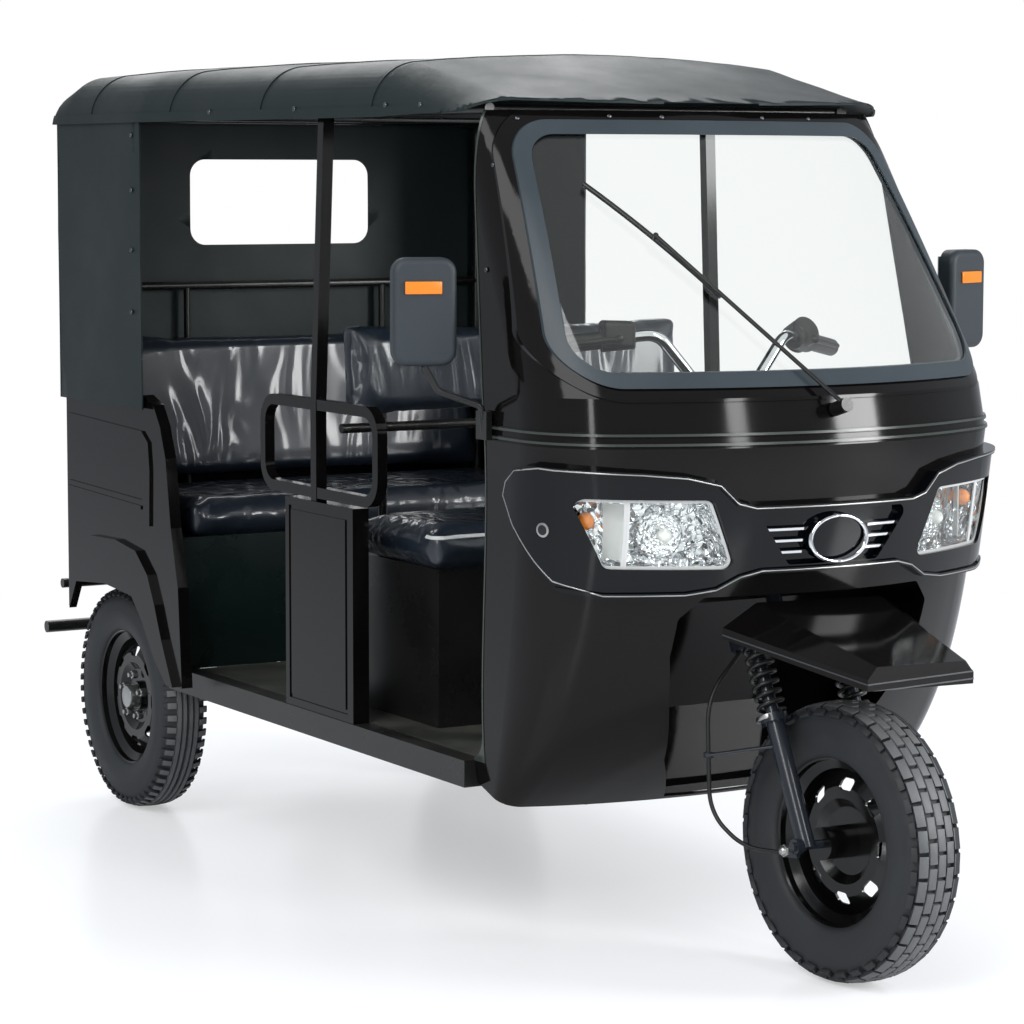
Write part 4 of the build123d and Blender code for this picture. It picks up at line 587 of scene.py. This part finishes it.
class RICKSHAW_OT_canvas(bpy.types.Operator):
    """The canvas roof and the rear curtain, with their seams and hems."""
    bl_idname = "rickshaw.canvas"
    bl_label = "Canvas"

    def execute(self, context):
        roof = self.roof()
        self.curtain(roof)
        return {"FINISHED"}

    def roof(self):
        """The roof sheet: the solid's outside, netted, waved and thickened."""
        low, _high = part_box("roof_canopy")

        def outside(centre, normal):
            outward = Vector((0.0, centre.y, centre.z - low.z + 0.02))
            return normal.dot(outward) > 0.0 or (normal.x < -0.7 and centre.x < low.x + 0.004)

        roof = netted(outer_faces("roof_canopy", "canvas_roof", outside), ROOF_NET)
        edited(roof, bpy.ops.mesh.remove_doubles, threshold=NET_WELD)
        waved(roof, "roof_waves", 0.16)
        for index, x in enumerate(ROOF_SEAMS_X):
            slice_of(roof, f"roof_seam_{index}", "canvas", (
                ((x - SEAM_HALF, 0, 0), (-1, 0, 0)), ((x + SEAM_HALF, 0, 0), (1, 0, 0))), 0.002)
        slice_of(
            roof, "roof_hem", "canvas", (((0, 0, low.z + ROOF_HEM), (0, 0, 1)),), HEM_THICK)
        shaped(roof, "SOLIDIFY", thickness=CLOTH_THICK, offset=-1.0)
        settle(roof, "canvas_roof", "canvas", smooth=60)
        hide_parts("roof_canopy")
        return roof

    def curtain(self, roof):
        """The rear curtain, which hangs from the roof and turns round both corners."""
        low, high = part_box("rear_curtain")

        def outside(centre, normal):
            if normal.x < -0.7:
                return centre.x < low.x + 0.012
            on_side = normal.y * centre.y > 0.0 and abs(normal.y) > 0.6 and abs(centre.y) > high.y - 0.04
            outward = Vector((centre.x + 0.9, centre.y, 0.0))
            return on_side or (abs(normal.x) < 0.9 and normal.dot(outward) > 0.02)

        curtain = netted(outer_faces("rear_curtain", "rear_canvas", outside), CURTAIN_NET)
        waved(curtain, "curtain_waves", 0.2)
        for side, sign in SIDES:
            slice_of(curtain, f"curtain_hem_{side}", "canvas", (
                ((high.x - CURTAIN_HEM, 0, 0), (-1, 0, 0)), ((0, 0, 0), (0, -sign, 0))), HEM_THICK)
        shaped(curtain, "SOLIDIFY", thickness=CLOTH_THICK, offset=-1.0)
        settle(curtain, "rear_canvas", "canvas", smooth=60)
        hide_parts("rear_curtain")


# ------ cushions
# each cushion's node, name, voxel size, most travel and fill
CUSHIONS = (
    ("bench_cushion", "bench_seat", 0.007, 0.018, 0.7),
    ("bench_backrest", "bench_back", 0.007, 0.016, 0.6),
    ("driver_cushion", "driver_seat", 0.006, 0.016, 0.7),
    ("driver_backrest", "driver_back", 0.006, 0.012, 0.6),
)
PRESSURE = 4.0
CLOTH_FRAMES = 12
SHRINK = 0.006               # how far the copy starts inside its solid, and may end outside it
PIPING_LOW, PIPING_HIGH = 0.020, 0.0145     # below the driver's cushion top
PIPING_REACH = 0.05          # behind its front edge


def inflated(node, name, voxel, travel, fill):
    """A cushion blown up from a slightly smaller copy of its solid, capped at a travel."""
    obj = copied(NODES[node], name)
    low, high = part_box(node)
    shares = [1.0 - 2 * SHRINK / (high[axis] - low[axis]) for axis in range(3)]
    edited(obj, bpy.ops.transform.resize, value=shares, center_override=(low + high) / 2)
    shaped(obj, "REMESH", mode="VOXEL", voxel_size=voxel)
    before = [v.co.copy() for v in obj.data.vertices]
    modifier = obj.modifiers.new("cloth", "CLOTH")
    cloth = modifier.settings
    cloth.quality = 4
    cloth.mass = 0.3
    cloth.tension_stiffness = cloth.compression_stiffness = 12.0
    cloth.use_pressure = True
    cloth.uniform_pressure_force = PRESSURE
    cloth.effector_weights.gravity = 0.0
    modifier.point_cache.frame_end = CLOTH_FRAMES
    scene = bpy.context.scene
    for number in range(1, CLOTH_FRAMES + 1):
        scene.frame_set(number)
    only(obj)
    bpy.ops.object.modifier_apply(modifier="cloth")
    scene.frame_set(1)
    for vertex, start in zip(obj.data.vertices, before):
        moved = vertex.co - start
        if moved.length > travel:
            vertex.co = start + moved * (travel / moved.length)
        for axis in range(3):
            vertex.co[axis] = min(max(vertex.co[axis], low[axis] - SHRINK), high[axis] + SHRINK)
    shaped(obj, "SMOOTH", factor=0.5, iterations=3)
    settle(obj, name, "seat_vinyl", smooth=60)
    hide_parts(node)
    return obj, high


class RICKSHAW_OT_cushions(bpy.types.Operator):
    """The seats and backs, and the piping of the driver's cushion."""
    bl_idname = "rickshaw.cushions"
    bl_label = "Cushions"

    def execute(self, context):
        for row in CUSHIONS:
            obj, high = inflated(*row)
            if row[0] == "driver_cushion":
                slice_of(obj, "driver_seat_piping", "piping", (
                    *level_band(high.z - PIPING_LOW, high.z - PIPING_HIGH),
                    ((high.x - PIPING_REACH, 0, 0), (-1, 0, 0))), 0.003)
        return {"FINISHED"}


# ------ tyres
# half of a tyre's profile, and the crown that closes it: radius, across
TYRE_HALF = (
    (0.1535, 0.040), (0.158, 0.0465), (0.166, 0.0495), (0.180, 0.0525), (0.1985, 0.0535), (0.2005, 0.0528),
    (0.216, 0.0520), (0.231, 0.0480), (0.2415, 0.0400), (0.2460, 0.0280),
)
FRONT_CROWN = ((0.2485, 0.012), (0.2490, 0.0))
REAR_CROWN = (
    (0.2480, 0.0255), (0.2535, 0.0250), (0.2540, 0.0165), (0.2478, 0.0155), (0.2478, 0.0120),
    (0.2545, 0.0110), (0.2548, 0.0040), (0.2485, 0.0030), (0.2485, 0.0),
)
# tread rows: length, width, height, radius, across, slope, phase in steps
FRONT_ROWS = (
    (0.039, 0.0165, 0.008, 0.2548, 0.000, 0.00, 0.0),
    (0.038, 0.0165, 0.008, 0.2540, 0.0190, 0.08, 0.5),
    (0.038, 0.0165, 0.008, 0.2540, -0.0190, -0.08, 0.5),
    (0.038, 0.018, 0.010, 0.2505, 0.0375, 0.34, 0.0),
    (0.038, 0.018, 0.010, 0.2505, -0.0375, -0.34, 0.0),
    (0.026, 0.012, 0.008, 0.2400, 0.0490, 0.85, 0.5),
    (0.026, 0.012, 0.008, 0.2400, -0.0490, -0.85, 0.5),
)
REAR_ROWS = (
    (0.014, 0.022, 0.009, 0.2500, 0.0370, 0.33, 0.0),
    (0.014, 0.022, 0.009, 0.2500, -0.0370, -0.33, 0.5),
    (0.012, 0.012, 0.006, 0.2410, 0.0480, 0.85, 0.0),
    (0.012, 0.012, 0.006, 0.2410, -0.0480, -0.85, 0.5),
)
FRONT_COUNT = 35
REAR_COUNT = 56
TYRE_STEPS = 96
# tread faces beyond this radius take the pale finish: a painted highlight
TREAD_HIGHLIGHT_RADIUS = 0.2496         # the tread is paler beyond this


def full_profile(crown):
    """Both sides of a tyre's profile as one closed line of (radius, across)."""
    right = list(TYRE_HALF) + list(crown)
    left = [(radius, -across) for radius, across in reversed(right) if across > 0.0]
    return right + left


class RICKSHAW_OT_tyres(bpy.types.Operator):
    """Three tyres with tread blocks, grooves and side ribs, their tread tops painted paler as a painted
    highlight.
    """
    bl_idname = "rickshaw.tyres"
    bl_label = "Tyres"

    def execute(self, context):
        for name, body, crown, rows, count in (
            ("front_tyre", "front_wheel", FRONT_CROWN, FRONT_ROWS, FRONT_COUNT),
            ("rear_tyre_left", "rear_wheel_left", REAR_CROWN, REAR_ROWS, REAR_COUNT),
            ("rear_tyre_right", "rear_wheel_right", REAR_CROWN, REAR_ROWS, REAR_COUNT),
        ):
            axle = Vector(JOINTS[body]["pos_m"])
            carcass = turned(full_profile(crown), TYRE_STEPS)
            tyre = joined([carcass] + [block_ring(*row, count) for row in rows])
            tyre.rotation_euler = Vector(JOINTS[body]["axis"]).to_track_quat("Y", "Z").to_euler()
            tyre.location = axle
            settle(tyre, f"road_{name}", "tyre", body, smooth=40)
            # the outer tread faces take the pale finish, a painted highlight
            tyre.data.materials.append(MATERIALS["tread_highlight"])
            for face in tyre.data.polygons:
                spoke = face.center - axle
                if Vector((spoke.x, 0.0, spoke.z)).length > TREAD_HIGHLIGHT_RADIUS:
                    face.material_index = 1
            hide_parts(name)
        return {"FINISHED"}


# ------ lamps and grille
RIM_BAND, RIM_THICK = 0.005, 0.003
LENS_THICK = 0.002
LENS_LOOKS = 0.12            # a lens face looks forward by more than this
BACK_THICK = 0.001
BUCKET_THICK = 0.003
# one lamp's bowl and bulbs: finish, place, radius
LAMP_INSIDES = (
    ("lamp_bowl", (0.918, 0.305, 0.815), 0.044),
    ("bulb_glass", (0.940, 0.305, 0.815), 0.013),
    ("amber", (0.865, 0.425, 0.840), 0.016),
)
BOWL_SHAPE = (0.030, 40, 0.012)             # depth, sides, softened edge
LAMP_WAY = (0.85, 0.5, 0.0)                 # the way the left lamp faces
DIVIDER = (0.045, 0.0025, 0.100)            # wall between a lamp's two compartments
DIVIDER_PLACE = (0.898, 0.385, 0.822)
DIVIDER_TURN = 0.5
LINE_HALF = 0.0022                          # half the height of a bright line
SLAT_LINES_Z = (0.782, 0.803, 0.824)
OVAL_RADIUS = 0.071                         # the slats end at the blank oval
OVAL_PLACE = (1.0475, 0.0, 0.803)
OVAL_SCALE = (0.083, 0.124, 0.08)
# coloured bands of the tail lamps: finish, lower and upper edge
TAIL_BANDS = (("amber", 0.775, 0.812), ("lamp_rim", 0.650, 0.680))


def lamp_parts(name, front):
    """A shell taken from the lamps' solid: its lens, or the walls behind it."""
    shell = copied(NODES["headlamps"], name)
    return delete_faces(shell, lambda centre, normal: (normal.x > LENS_LOOKS) != front)


class RICKSHAW_OT_lamps(bpy.types.Operator):
    """Lenses, reflectors, bulbs and rims of the headlamps, and the grille's bright trims."""
    bl_idname = "rickshaw.lamps"
    bl_label = "Lamps"

    def execute(self, context):
        lens = lamp_parts("lamp_lenses", True)
        rim = copied(lens, "lamp_rims")
        set_mode("EDIT")
        bpy.ops.mesh.select_mode(type="FACE")
        bpy.ops.mesh.select_all(action="SELECT")
        bpy.ops.mesh.inset(thickness=RIM_BAND, use_boundary=True)
        bpy.ops.mesh.delete(type="FACE")
        set_mode("OBJECT")
        backs = lamp_parts("lamp_backs", False)
        bucket = lamp_parts("lamp_buckets", False)
        delete_faces(bucket, lambda centre, normal: normal.x > -0.2)
        for shell, name, finish_name, thickness, offset in (
            (rim, "lamp_rims", "lamp_rim", RIM_THICK, 0.6),
            (lens, "lamp_lenses", "lamp_lens", LENS_THICK, -1.0),
            (backs, "lamp_backs", "reflector", BACK_THICK, -1.0),
            (bucket, "lamp_buckets", "bezel_plastic", BUCKET_THICK, 1.0),
        ):
            shaped(shell, "SOLIDIFY", thickness=thickness, offset=offset)
            settle(shell, name, finish_name)
        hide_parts("headlamps")
        for side, sign in SIDES:
            self.inside(side, sign)
        self.ring()
        for index, z in enumerate(SLAT_LINES_Z):
            for side, sign in SIDES:
                slice_of(NODES["grille"], f"grille_line_{index}_{side}", "chrome", (
                    *level_band(z - LINE_HALF, z + LINE_HALF),
                    ((0, sign * OVAL_RADIUS, 0), (0, -sign, 0))), 0.0012,
                    unwanted=lambda centre, normal: normal.x < 0.3)
        for index, (finish_name, below, above) in enumerate(TAIL_BANDS):
            slice_of(NODES["tail_lamps"], f"tail_band_{index}", finish_name, level_band(below, above), 0.0012,
                     unwanted=lambda centre, normal: normal.x > -0.5)
        return {"FINISHED"}

    def inside(self, side, sign):
        """The bowl, the bulbs and the dividing wall of one lamp."""
        toward = (LAMP_WAY[0], sign * LAMP_WAY[1], LAMP_WAY[2])
        for index, (finish_name, (x, y, z), radius) in enumerate(LAMP_INSIDES):
            place = (x, sign * y, z)
            if finish_name == "lamp_bowl":
                piece = disc((radius, *BOWL_SHAPE), place, toward)
            else:
                piece = dome(radius, radius, place, toward)
            settle(piece, f"lamp_{side}_{index}_{finish_name}", finish_name)
        x, y, z = DIVIDER_PLACE
        wall = slab(DIVIDER, (x, sign * y, z), turn=(0.0, 0.0, -sign * DIVIDER_TURN))
        settle(wall, f"lamp_divider_{side}", "lamp_rim")

    def ring(self):
        """The bright ring round the blank oval."""
        bpy.ops.mesh.primitive_torus_add(
            major_radius=0.5, minor_radius=0.036, major_segments=64, minor_segments=10, location=(0, 0, 0))
        ring = bpy.context.object
        ring.scale = OVAL_SCALE
        bpy.ops.object.transform_apply(location=False, rotation=False, scale=True)
        ring.rotation_euler = (0.0, pi / 2, 0.0)
        ring.location = OVAL_PLACE
        return settle(ring, "oval_ring", "chrome")


# ------ painted highlight lines on the body, and the lamp sockets
WAIST_Z = 0.972
# two painted highlight lines follow the waist beads
WAIST_LINES = (0.0075, 0.0245)              # heights above the waist
LINE_THICK = 0.0008
# rear edges of the cab panels, each carrying a painted highlight line: node, lower and upper end of the edge
# as (x, z)
DOOR_EDGES = (
    ("lower_cowl", (0.5985, 0.364), (0.6405, 0.972)),
    ("upper_cowl", (0.6405, 0.972), (0.5225, 1.570)),
)
EDGE_BAND, EDGE_THICK = 0.004, 0.0012
# the mudguard's side edge: its rear end, its slope down to the front, and the painted highlight lines below
# it
GUARD_EDGE = (0.9785, 0.0, 0.642)
GUARD_SLOPE = 0.2135
GUARD_LINES = (0.0035, 0.0165)
GUARD_LINE_HALF = 0.0012
# the bezel's rim, which carries a painted highlight line: (y, z) from the middle outwards, and (x, z) round
# its rear end
BEZEL_UPPER = (
    (0.0, 0.865), (0.174, 0.865), (0.208, 0.874), (0.242, 0.907), (0.300, 0.921), (0.374, 0.928),
    (0.495, 0.934),
)
BEZEL_LOWER = (
    (0.0, 0.750), (0.151, 0.750), (0.192, 0.740), (0.232, 0.718), (0.286, 0.710), (0.420, 0.710),
    (0.500, 0.718),
)
BEZEL_REAR = (
    (0.8400, 0.936), (0.7690, 0.927), (0.7370, 0.904), (0.7260, 0.879), (0.7550, 0.829), (0.8110, 0.767),
    (0.8450, 0.733),
)
RAY_FRONT_X, RAY_SIDE_Y, RAY_REACH = 1.3, 0.9, 0.62
# the bright steel line on the bezel's rim is a painted highlight
BEZEL_LINE_RADIUS, BEZEL_LINE_SIDES = 0.0014, 8
BEZEL_LINE_STEP, BEZEL_LINE_GAP = 0.008, 0.02           # one stretch, and the longest that is bridged
BEZEL_LINE_LIFT = 0.08                            # how far outside the surface its rays start
SOCKET, SOCKET_WAY = (0.8352, 0.4947, 0.8248), (0.406, 0.911, -0.075)
SOCKET_PARTS = (
    ("ring", (0.0135, 0.005, 32, 0.0012), "steel"), ("core", (0.0095, 0.0065, 32, 0.001), "cable"),
)


def faces_in(centre, normal):
    """True of a cab or mudguard face that doesn't look forward or sideways out."""
    return normal.x * 0.5 + normal.y * centre.y < 0.05


class RICKSHAW_OT_highlight_lines(bpy.types.Operator):
    """Painted highlight lines round the waist beads, the cab's rear edges, the mudguard and the bezel."""
    bl_idname = "rickshaw.trims"
    bl_label = "Highlight lines"

    def execute(self, context):
        for index, rise in enumerate(WAIST_LINES):
            z = WAIST_Z + rise
            slice_of(NODES["upper_cowl"], f"waist_highlight_{index}", "bead_highlight",
                     level_band(z - LINE_HALF, z + LINE_HALF), LINE_THICK, unwanted=faces_in)
        for node, (low_x, low_z), (high_x, high_z) in DOOR_EDGES:
            along = Vector((high_x - low_x, 0.0, high_z - low_z)).normalized()
            ahead = Vector((along.z, 0.0, -along.x))
            spot = Vector((low_x, 0.0, low_z)) + ahead * EDGE_BAND
            slice_of(NODES[node], f"edge_highlight_{node}", "bead_highlight", (
                (spot, ahead), *level_band(low_z, high_z)), EDGE_THICK)
        self.mudguard()
        for side, sign in SIDES:
            self.bezel(side, sign)
        return {"FINISHED"}

    def mudguard(self):
        """Two painted highlight lines in dark steel along the mudguard's skirt, below its sloping edge."""
        rise = Vector((sin(GUARD_SLOPE), 0.0, cos(GUARD_SLOPE)))
        for index, drop in enumerate(GUARD_LINES):
            spot = Vector(GUARD_EDGE) - rise * drop
            slice_of(NODES["front_mudguard"], f"mudguard_highlight_{index}", "steel_dark", (
                (spot - rise * GUARD_LINE_HALF, -rise), (spot + rise * GUARD_LINE_HALF, rise)), LINE_THICK,
                body="steering", unwanted=faces_in)

    def bezel(self, side, sign):
        """A bright line round one half of the bezel's rim, a painted highlight laid on the surface that a ray
        meets, and a socket.
        """
        bezel = NODES["lamp_bezel"]
        back, inward = Vector((-1, 0, 0)), Vector((0, -sign, 0))
        rays = [((RAY_FRONT_X, sign * y, z), back) for y, z in BEZEL_UPPER]
        rays += [((x, sign * RAY_SIDE_Y, z), inward) for x, z in BEZEL_REAR]
        rays += [((RAY_FRONT_X, sign * y, z), back) for y, z in reversed(BEZEL_LOWER)]
        corners = []
        for start, way in rays:
            found, spot, _normal, _index = bezel.ray_cast(start, way)
            if found and (spot - Vector(start)).length < RAY_REACH:
                corners.append((spot, way))
        spots = [corners[0][0]]
        for (here, way), (there, next_way) in zip(corners, corners[1:]):
            steps = max(1, int((there - here).length / BEZEL_LINE_STEP))
            for step in range(1, steps + 1):
                look = way.lerp(next_way, step / steps).normalized()
                start = here.lerp(there, step / steps) - look * BEZEL_LINE_LIFT
                found, spot, _normal, _index = bezel.ray_cast(start, look)
                if found and (spot - spots[-1]).length < BEZEL_LINE_GAP:
                    spots.append(spot)
        settle(tube_along(spots, BEZEL_LINE_RADIUS, BEZEL_LINE_SIDES), f"bezel_highlight_{side}", "steel")
        x, y, z = SOCKET
        out_x, out_y, out_z = SOCKET_WAY
        for name, size, finish_name in SOCKET_PARTS:
            part = disc(size, (x, sign * y, z), (out_x, sign * out_y, out_z))
            settle(part, f"socket_{name}_{side}", finish_name)


# ------ small fittings
# snaps along one side of the canvas
SNAPS = (
    (-0.4196, 0.5520, 1.5802), (-0.0777, 0.5262, 1.5816), (0.2556, 0.4996, 1.5845),
    (0.3701, 0.4866, 1.5828), (-0.7800, 0.5705, 1.5353), (-0.7815, 0.5705, 1.4161),
    (-0.7845, 0.5705, 1.2855), (-0.7875, 0.5705, 1.1500),
)
# domed screw heads: place, direction they face
SCREWS = (
    ((0.5630, -0.3886, 1.5573), (0.77, -0.27, 0.57)), ((0.6068, -0.2154, 1.5619), (0.90, -0.15, 0.40)),
    ((0.6225, -0.1090, 1.5609), (0.92, -0.08, 0.39)), ((0.6205, 0.1211, 1.5613), (0.91, 0.10, 0.40)),
    ((0.6020, 0.2429, 1.5607), (0.89, 0.16, 0.40)), ((0.5800, -0.4505, 1.4707), (0.1, -0.99, 0.1)),
    ((0.6150, -0.4845, 1.2807), (0.0, -0.99, 0.1)), ((0.5800, 0.4505, 1.4707), (0.1, 0.99, 0.1)),
    ((0.6150, 0.4845, 1.2807), (0.0, 0.99, 0.1)),
)
SNAP, SCREW = (0.0055, 0.0035), (0.005, 0.003)      # radius, height
MARKER, MARKER_PLACE = (0.004, 0.068, 0.023), (0.6345, 0.6255, 1.2505)
MIRROR_GLASS = (0.003, 0.096, 0.170)
MIRROR_BACK = 0.0245         # from the middle of a mirror to its glass
MIRROR_TURN = 0.314          # how far each mirror looks outward
# round parts: radius, depth, sides, softened edge
LEG_RING, LEG_RING_PLACE = (0.0275, 0.009, 32, 0.0015), (0.981, 0.098, 0.474)
HUB_NUT, HUB_STUD = (0.010, 0.014, 6, 0.0012), (0.0055, 0.012, 16, 0.0008)
HUB_CAP = (0.026, 0.030, 32, 0.004)
AXLE_NUT, AXLE_NUT_PLACE = (0.012, 0.010, 6, 0.001), (1.0768, -0.131, 0.2500)
AXLE_CAP = (0.009, 0.008)
HUB_X = -1.0255
WHEEL_Z = 0.255
HUB_NUTS = 5
HUB_TURN = 0.3
NUT_CIRCLE = 0.050
NUT_FACE_Y = 0.4690
STUD_RISE, CAP_RISE = 0.009, 0.006


class RICKSHAW_OT_fittings(bpy.types.Operator):
    """Snaps, screws, mirror markers and glasses, fork rings, hub nuts and the front axle's nut."""
    bl_idname = "rickshaw.fittings"
    bl_label = "Fittings"

    def execute(self, context):
        snaps = [
            dome(*SNAP, (x, sign * y, z), (0.0, sign, 0.1)) for x, y, z in SNAPS for _side, sign in SIDES]
        settle(joined(snaps), "canvas_snaps", "steel_dark")
        settle(joined([dome(*SCREW, place, toward) for place, toward in SCREWS]), "body_screws", "steel_dark")
        for side, sign in SIDES:
            self.mirror(side, sign)
        x, y, z = LEG_RING_PLACE
        for side, sign in SIDES:
            ring = disc(LEG_RING, (x, sign * y, z), JOINTS["steering"]["axis"])
            settle(ring, f"fork_ring_{side}", "steel", "steering")
        for side, sign in SIDES:
            self.hub(side, sign)
        axle = Vector(JOINTS["front_wheel"]["axis"])
        nut = disc(AXLE_NUT, AXLE_NUT_PLACE, -axle)
        cap = dome(*AXLE_CAP, Vector(AXLE_NUT_PLACE) - axle * (AXLE_NUT[1] / 2), -axle)
        settle(joined([nut, cap]), "axle_nut", "steel", "steering")
        return {"FINISHED"}

    def mirror(self, side, sign):
        """The marker on a mirror's shell and the glass behind it."""
        x, y, z = MARKER_PLACE
        turn = (0, 0, sign * MIRROR_TURN)
        settle(slab(MARKER, (x, sign * y, z), edge=0.0019, turn=turn), f"mirror_marker_{side}", "amber")
        low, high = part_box(f"mirror_{side}")
        behind = -Vector((cos(MIRROR_TURN), sign * sin(MIRROR_TURN), 0.0)) * MIRROR_BACK
        face = slab(MIRROR_GLASS, (low + high) / 2 + behind, edge=0.0014, turn=turn)
        settle(face, f"mirror_glass_{side}", "mirror_glass")

    def hub(self, side, sign):
        """Nuts, studs and the cap of one rear hub."""
        out = (0.0, sign, 0.0)
        pieces = []
        for index in range(HUB_NUTS):
            angle = 2 * pi * index / HUB_NUTS + HUB_TURN
            x, z = HUB_X + NUT_CIRCLE * cos(angle), WHEEL_Z + NUT_CIRCLE * sin(angle)
            pieces.append(disc(HUB_NUT, (x, sign * NUT_FACE_Y, z), out))
            pieces.append(disc(HUB_STUD, (x, sign * (NUT_FACE_Y + STUD_RISE), z), out))
        pieces.append(disc(HUB_CAP, (HUB_X, sign * (NUT_FACE_Y + CAP_RISE), WHEEL_Z), out))
        settle(joined(pieces), f"hub_nuts_{side}", "steel", f"rear_wheel_{side}")


# ------ stage
FLOOR_LIFT = 0.42            # light added to the floor where the camera sees it
FADE_START, FADE_END = 2.2, 4.5
FLOOR_SIZE = 60.0
WHITE = (1.0, 1.0, 1.0, 1.0)
SKY_COLOUR, SKY_STRENGTH = (0.80, 0.84, 0.90, 1.0), 0.55
BACK_POWER = 160.0
SIDE_STRIP_SHARE = 0.5       # of the front strip's power
LAMP_AIM = (0.0, 0.0, 0.8)
SENSOR_WIDTH = 36.0
CAMERA_SHIFT = (0.0010, 0.0008)
CLIP_END = 200.0


def seen_directly(tree):
    """1 for rays that come straight from the camera or through glass."""
    path = add_node(tree, "LightPath")
    seen = add_node(tree, "Math", {"operation": "MAXIMUM"}, i0=path.outputs["Is Camera Ray"],
                    i1=path.outputs["Is Transmission Ray"])
    return seen.outputs[0]


def backdrop_material(colour):
    """A pale floor that keeps its shadow near the object and fades to plain white further out."""
    material, tree, bsdf = principled("studio_floor")
    set_inputs(bsdf, Base_Color=(*colour, 1.0), Roughness=0.22, Specular_IOR_Level=0.5)
    seen = seen_directly(tree)
    lift = add_node(tree, "Emission", Color=WHITE, Strength=multiplied(tree, seen, FLOOR_LIFT))
    lit = add_node(tree, "AddShader", i0=bsdf.outputs[0], i1=lift.outputs[0])
    white = add_node(tree, "Emission", Color=WHITE, Strength=1.0)
    place = add_node(tree, "TexCoord")
    length = add_node(tree, "VectorMath", {"operation": "LENGTH"}, i0=place.outputs["Object"])
    far = add_node(tree, "MapRange", {"interpolation_type": "SMOOTHSTEP"}, Value=length.outputs["Value"],
                   i1=FADE_START, i2=FADE_END)
    share = multiplied(tree, far.outputs[0], seen)
    mix = add_node(tree, "MixShader", i0=share, i1=lit.outputs[0], i2=white.outputs[0])
    tree.links.new(mix.outputs[0], tree.nodes["Material Output"].inputs["Surface"])
    return material


class RICKSHAW_OT_stage(bpy.types.Operator):
    """Floor, world, lamps and the camera."""
    bl_idname = "rickshaw.stage"
    bl_label = "Stage"

    def execute(self, context):
        scene, stage = context.scene, context.scene.rickshaw_stage
        bpy.ops.mesh.primitive_plane_add(size=FLOOR_SIZE, location=(0, 0, 0))
        floor = context.object
        floor.name = "studio_floor"
        floor.data.materials.append(backdrop_material(stage.floor_colour))
        self.world(scene)
        self.lamps(stage)
        self.camera(scene, stage)
        scene.view_settings.view_transform = "Standard"
        return {"FINISHED"}

    def lamps(self, stage):
        """Area lamps that all look at the middle of the object."""
        for name, place, wide, high, power in (
            ("key", (3.0, -5.5, 5.5), 4.5, 4.5, stage.key_power),
            ("fill", (5.5, 4.5, 2.6), 1.6, 2.6, stage.fill_power),
            ("back", (-5.0, 2.0, 5.0), 4.0, 4.0, BACK_POWER),
            ("strip_front", (6.0, 0.6, 3.2), 0.5, 3.5, stage.strip_power),
            ("strip_side", (3.6, -4.2, 2.2), 0.4, 3.0, stage.strip_power * SIDE_STRIP_SHARE),
        ):
            bpy.ops.object.light_add(type="AREA", location=place)
            lamp = bpy.context.object
            lamp.name = f"lamp_{name}"
            lamp.data.shape = "RECTANGLE"
            lamp.data.size, lamp.data.size_y = wide, high
            lamp.data.energy = power
            aim = Vector(LAMP_AIM) - lamp.location
            lamp.rotation_euler = aim.to_track_quat("-Z", "Y").to_euler()

    def camera(self, scene, stage):
        """The camera, from its place, heading, slope and roll."""
        camera = bpy.data.objects.new("camera", bpy.data.cameras.new("camera"))
        scene.collection.objects.link(camera)
        yaw, pitch = stage.camera_yaw, stage.camera_pitch
        ahead = Vector((cos(pitch) * cos(yaw), cos(pitch) * sin(yaw), sin(pitch)))
        turn = ahead.to_track_quat("-Z", "Y").to_matrix().to_4x4()
        roll = Matrix.Rotation(stage.camera_roll, 4, "Z")
        camera.matrix_world = Matrix.Translation(stage.camera_place) @ (turn @ roll)
        camera.data.sensor_width = SENSOR_WIDTH
        camera.data.lens = stage.camera_lens
        camera.data.shift_x, camera.data.shift_y = CAMERA_SHIFT
        camera.data.clip_end = CLIP_END
        scene.camera = camera

    def world(self, scene):
        """A soft grey sky that lights the object, and white where it is seen directly or through glass."""
        world = bpy.data.worlds.new("studio")
        scene.world = world
        world.use_nodes = True
        tree = world.node_tree
        lighting = tree.nodes["Background"]
        set_inputs(lighting, Color=SKY_COLOUR, Strength=SKY_STRENGTH)
        plain = add_node(tree, "Background", Color=WHITE, Strength=1.0)
        mix = add_node(tree, "MixShader", i0=seen_directly(tree), i1=lighting.outputs[0], i2=plain.outputs[0])
        tree.links.new(mix.outputs[0], tree.nodes["World Output"].inputs["Surface"])


# ------ panel and run
OPERATORS = (
    RICKSHAW_OT_finishes, RICKSHAW_OT_canvas, RICKSHAW_OT_cushions, RICKSHAW_OT_tyres, RICKSHAW_OT_lamps,
    RICKSHAW_OT_highlight_lines, RICKSHAW_OT_fittings, RICKSHAW_OT_stage,
)


class RICKSHAW_PT_panel(bpy.types.Panel):
    """Lists the steps in order."""
    bl_idname = "RICKSHAW_PT_panel"
    bl_label = "Auto rickshaw"
    bl_space_type = "VIEW_3D"
    bl_region_type = "UI"
    bl_category = "Rickshaw"

    def draw(self, context):
        for operator in OPERATORS:
            self.layout.operator(operator.bl_idname)


CLASSES = (RickshawStage, RickshawPaint, *OPERATORS, RICKSHAW_PT_panel)


def register():
    """Registers the classes and their settings."""
    for cls in CLASSES:
        bpy.utils.register_class(cls)
    bpy.types.Scene.rickshaw_stage = bpy.props.PointerProperty(type=RickshawStage)
    bpy.types.Scene.rickshaw_paint = bpy.props.PointerProperty(type=RickshawPaint)


def unregister():
    """Removes the settings and the classes."""
    del bpy.types.Scene.rickshaw_paint
    del bpy.types.Scene.rickshaw_stage
    for cls in reversed(CLASSES):
        bpy.utils.unregister_class(cls)


def main():
    """Runs every step in order."""
    register()
    for operator in OPERATORS:
        area, name = operator.bl_idname.split(".")
        getattr(getattr(bpy.ops, area), name)()


if __name__ == "__main__":
    main()
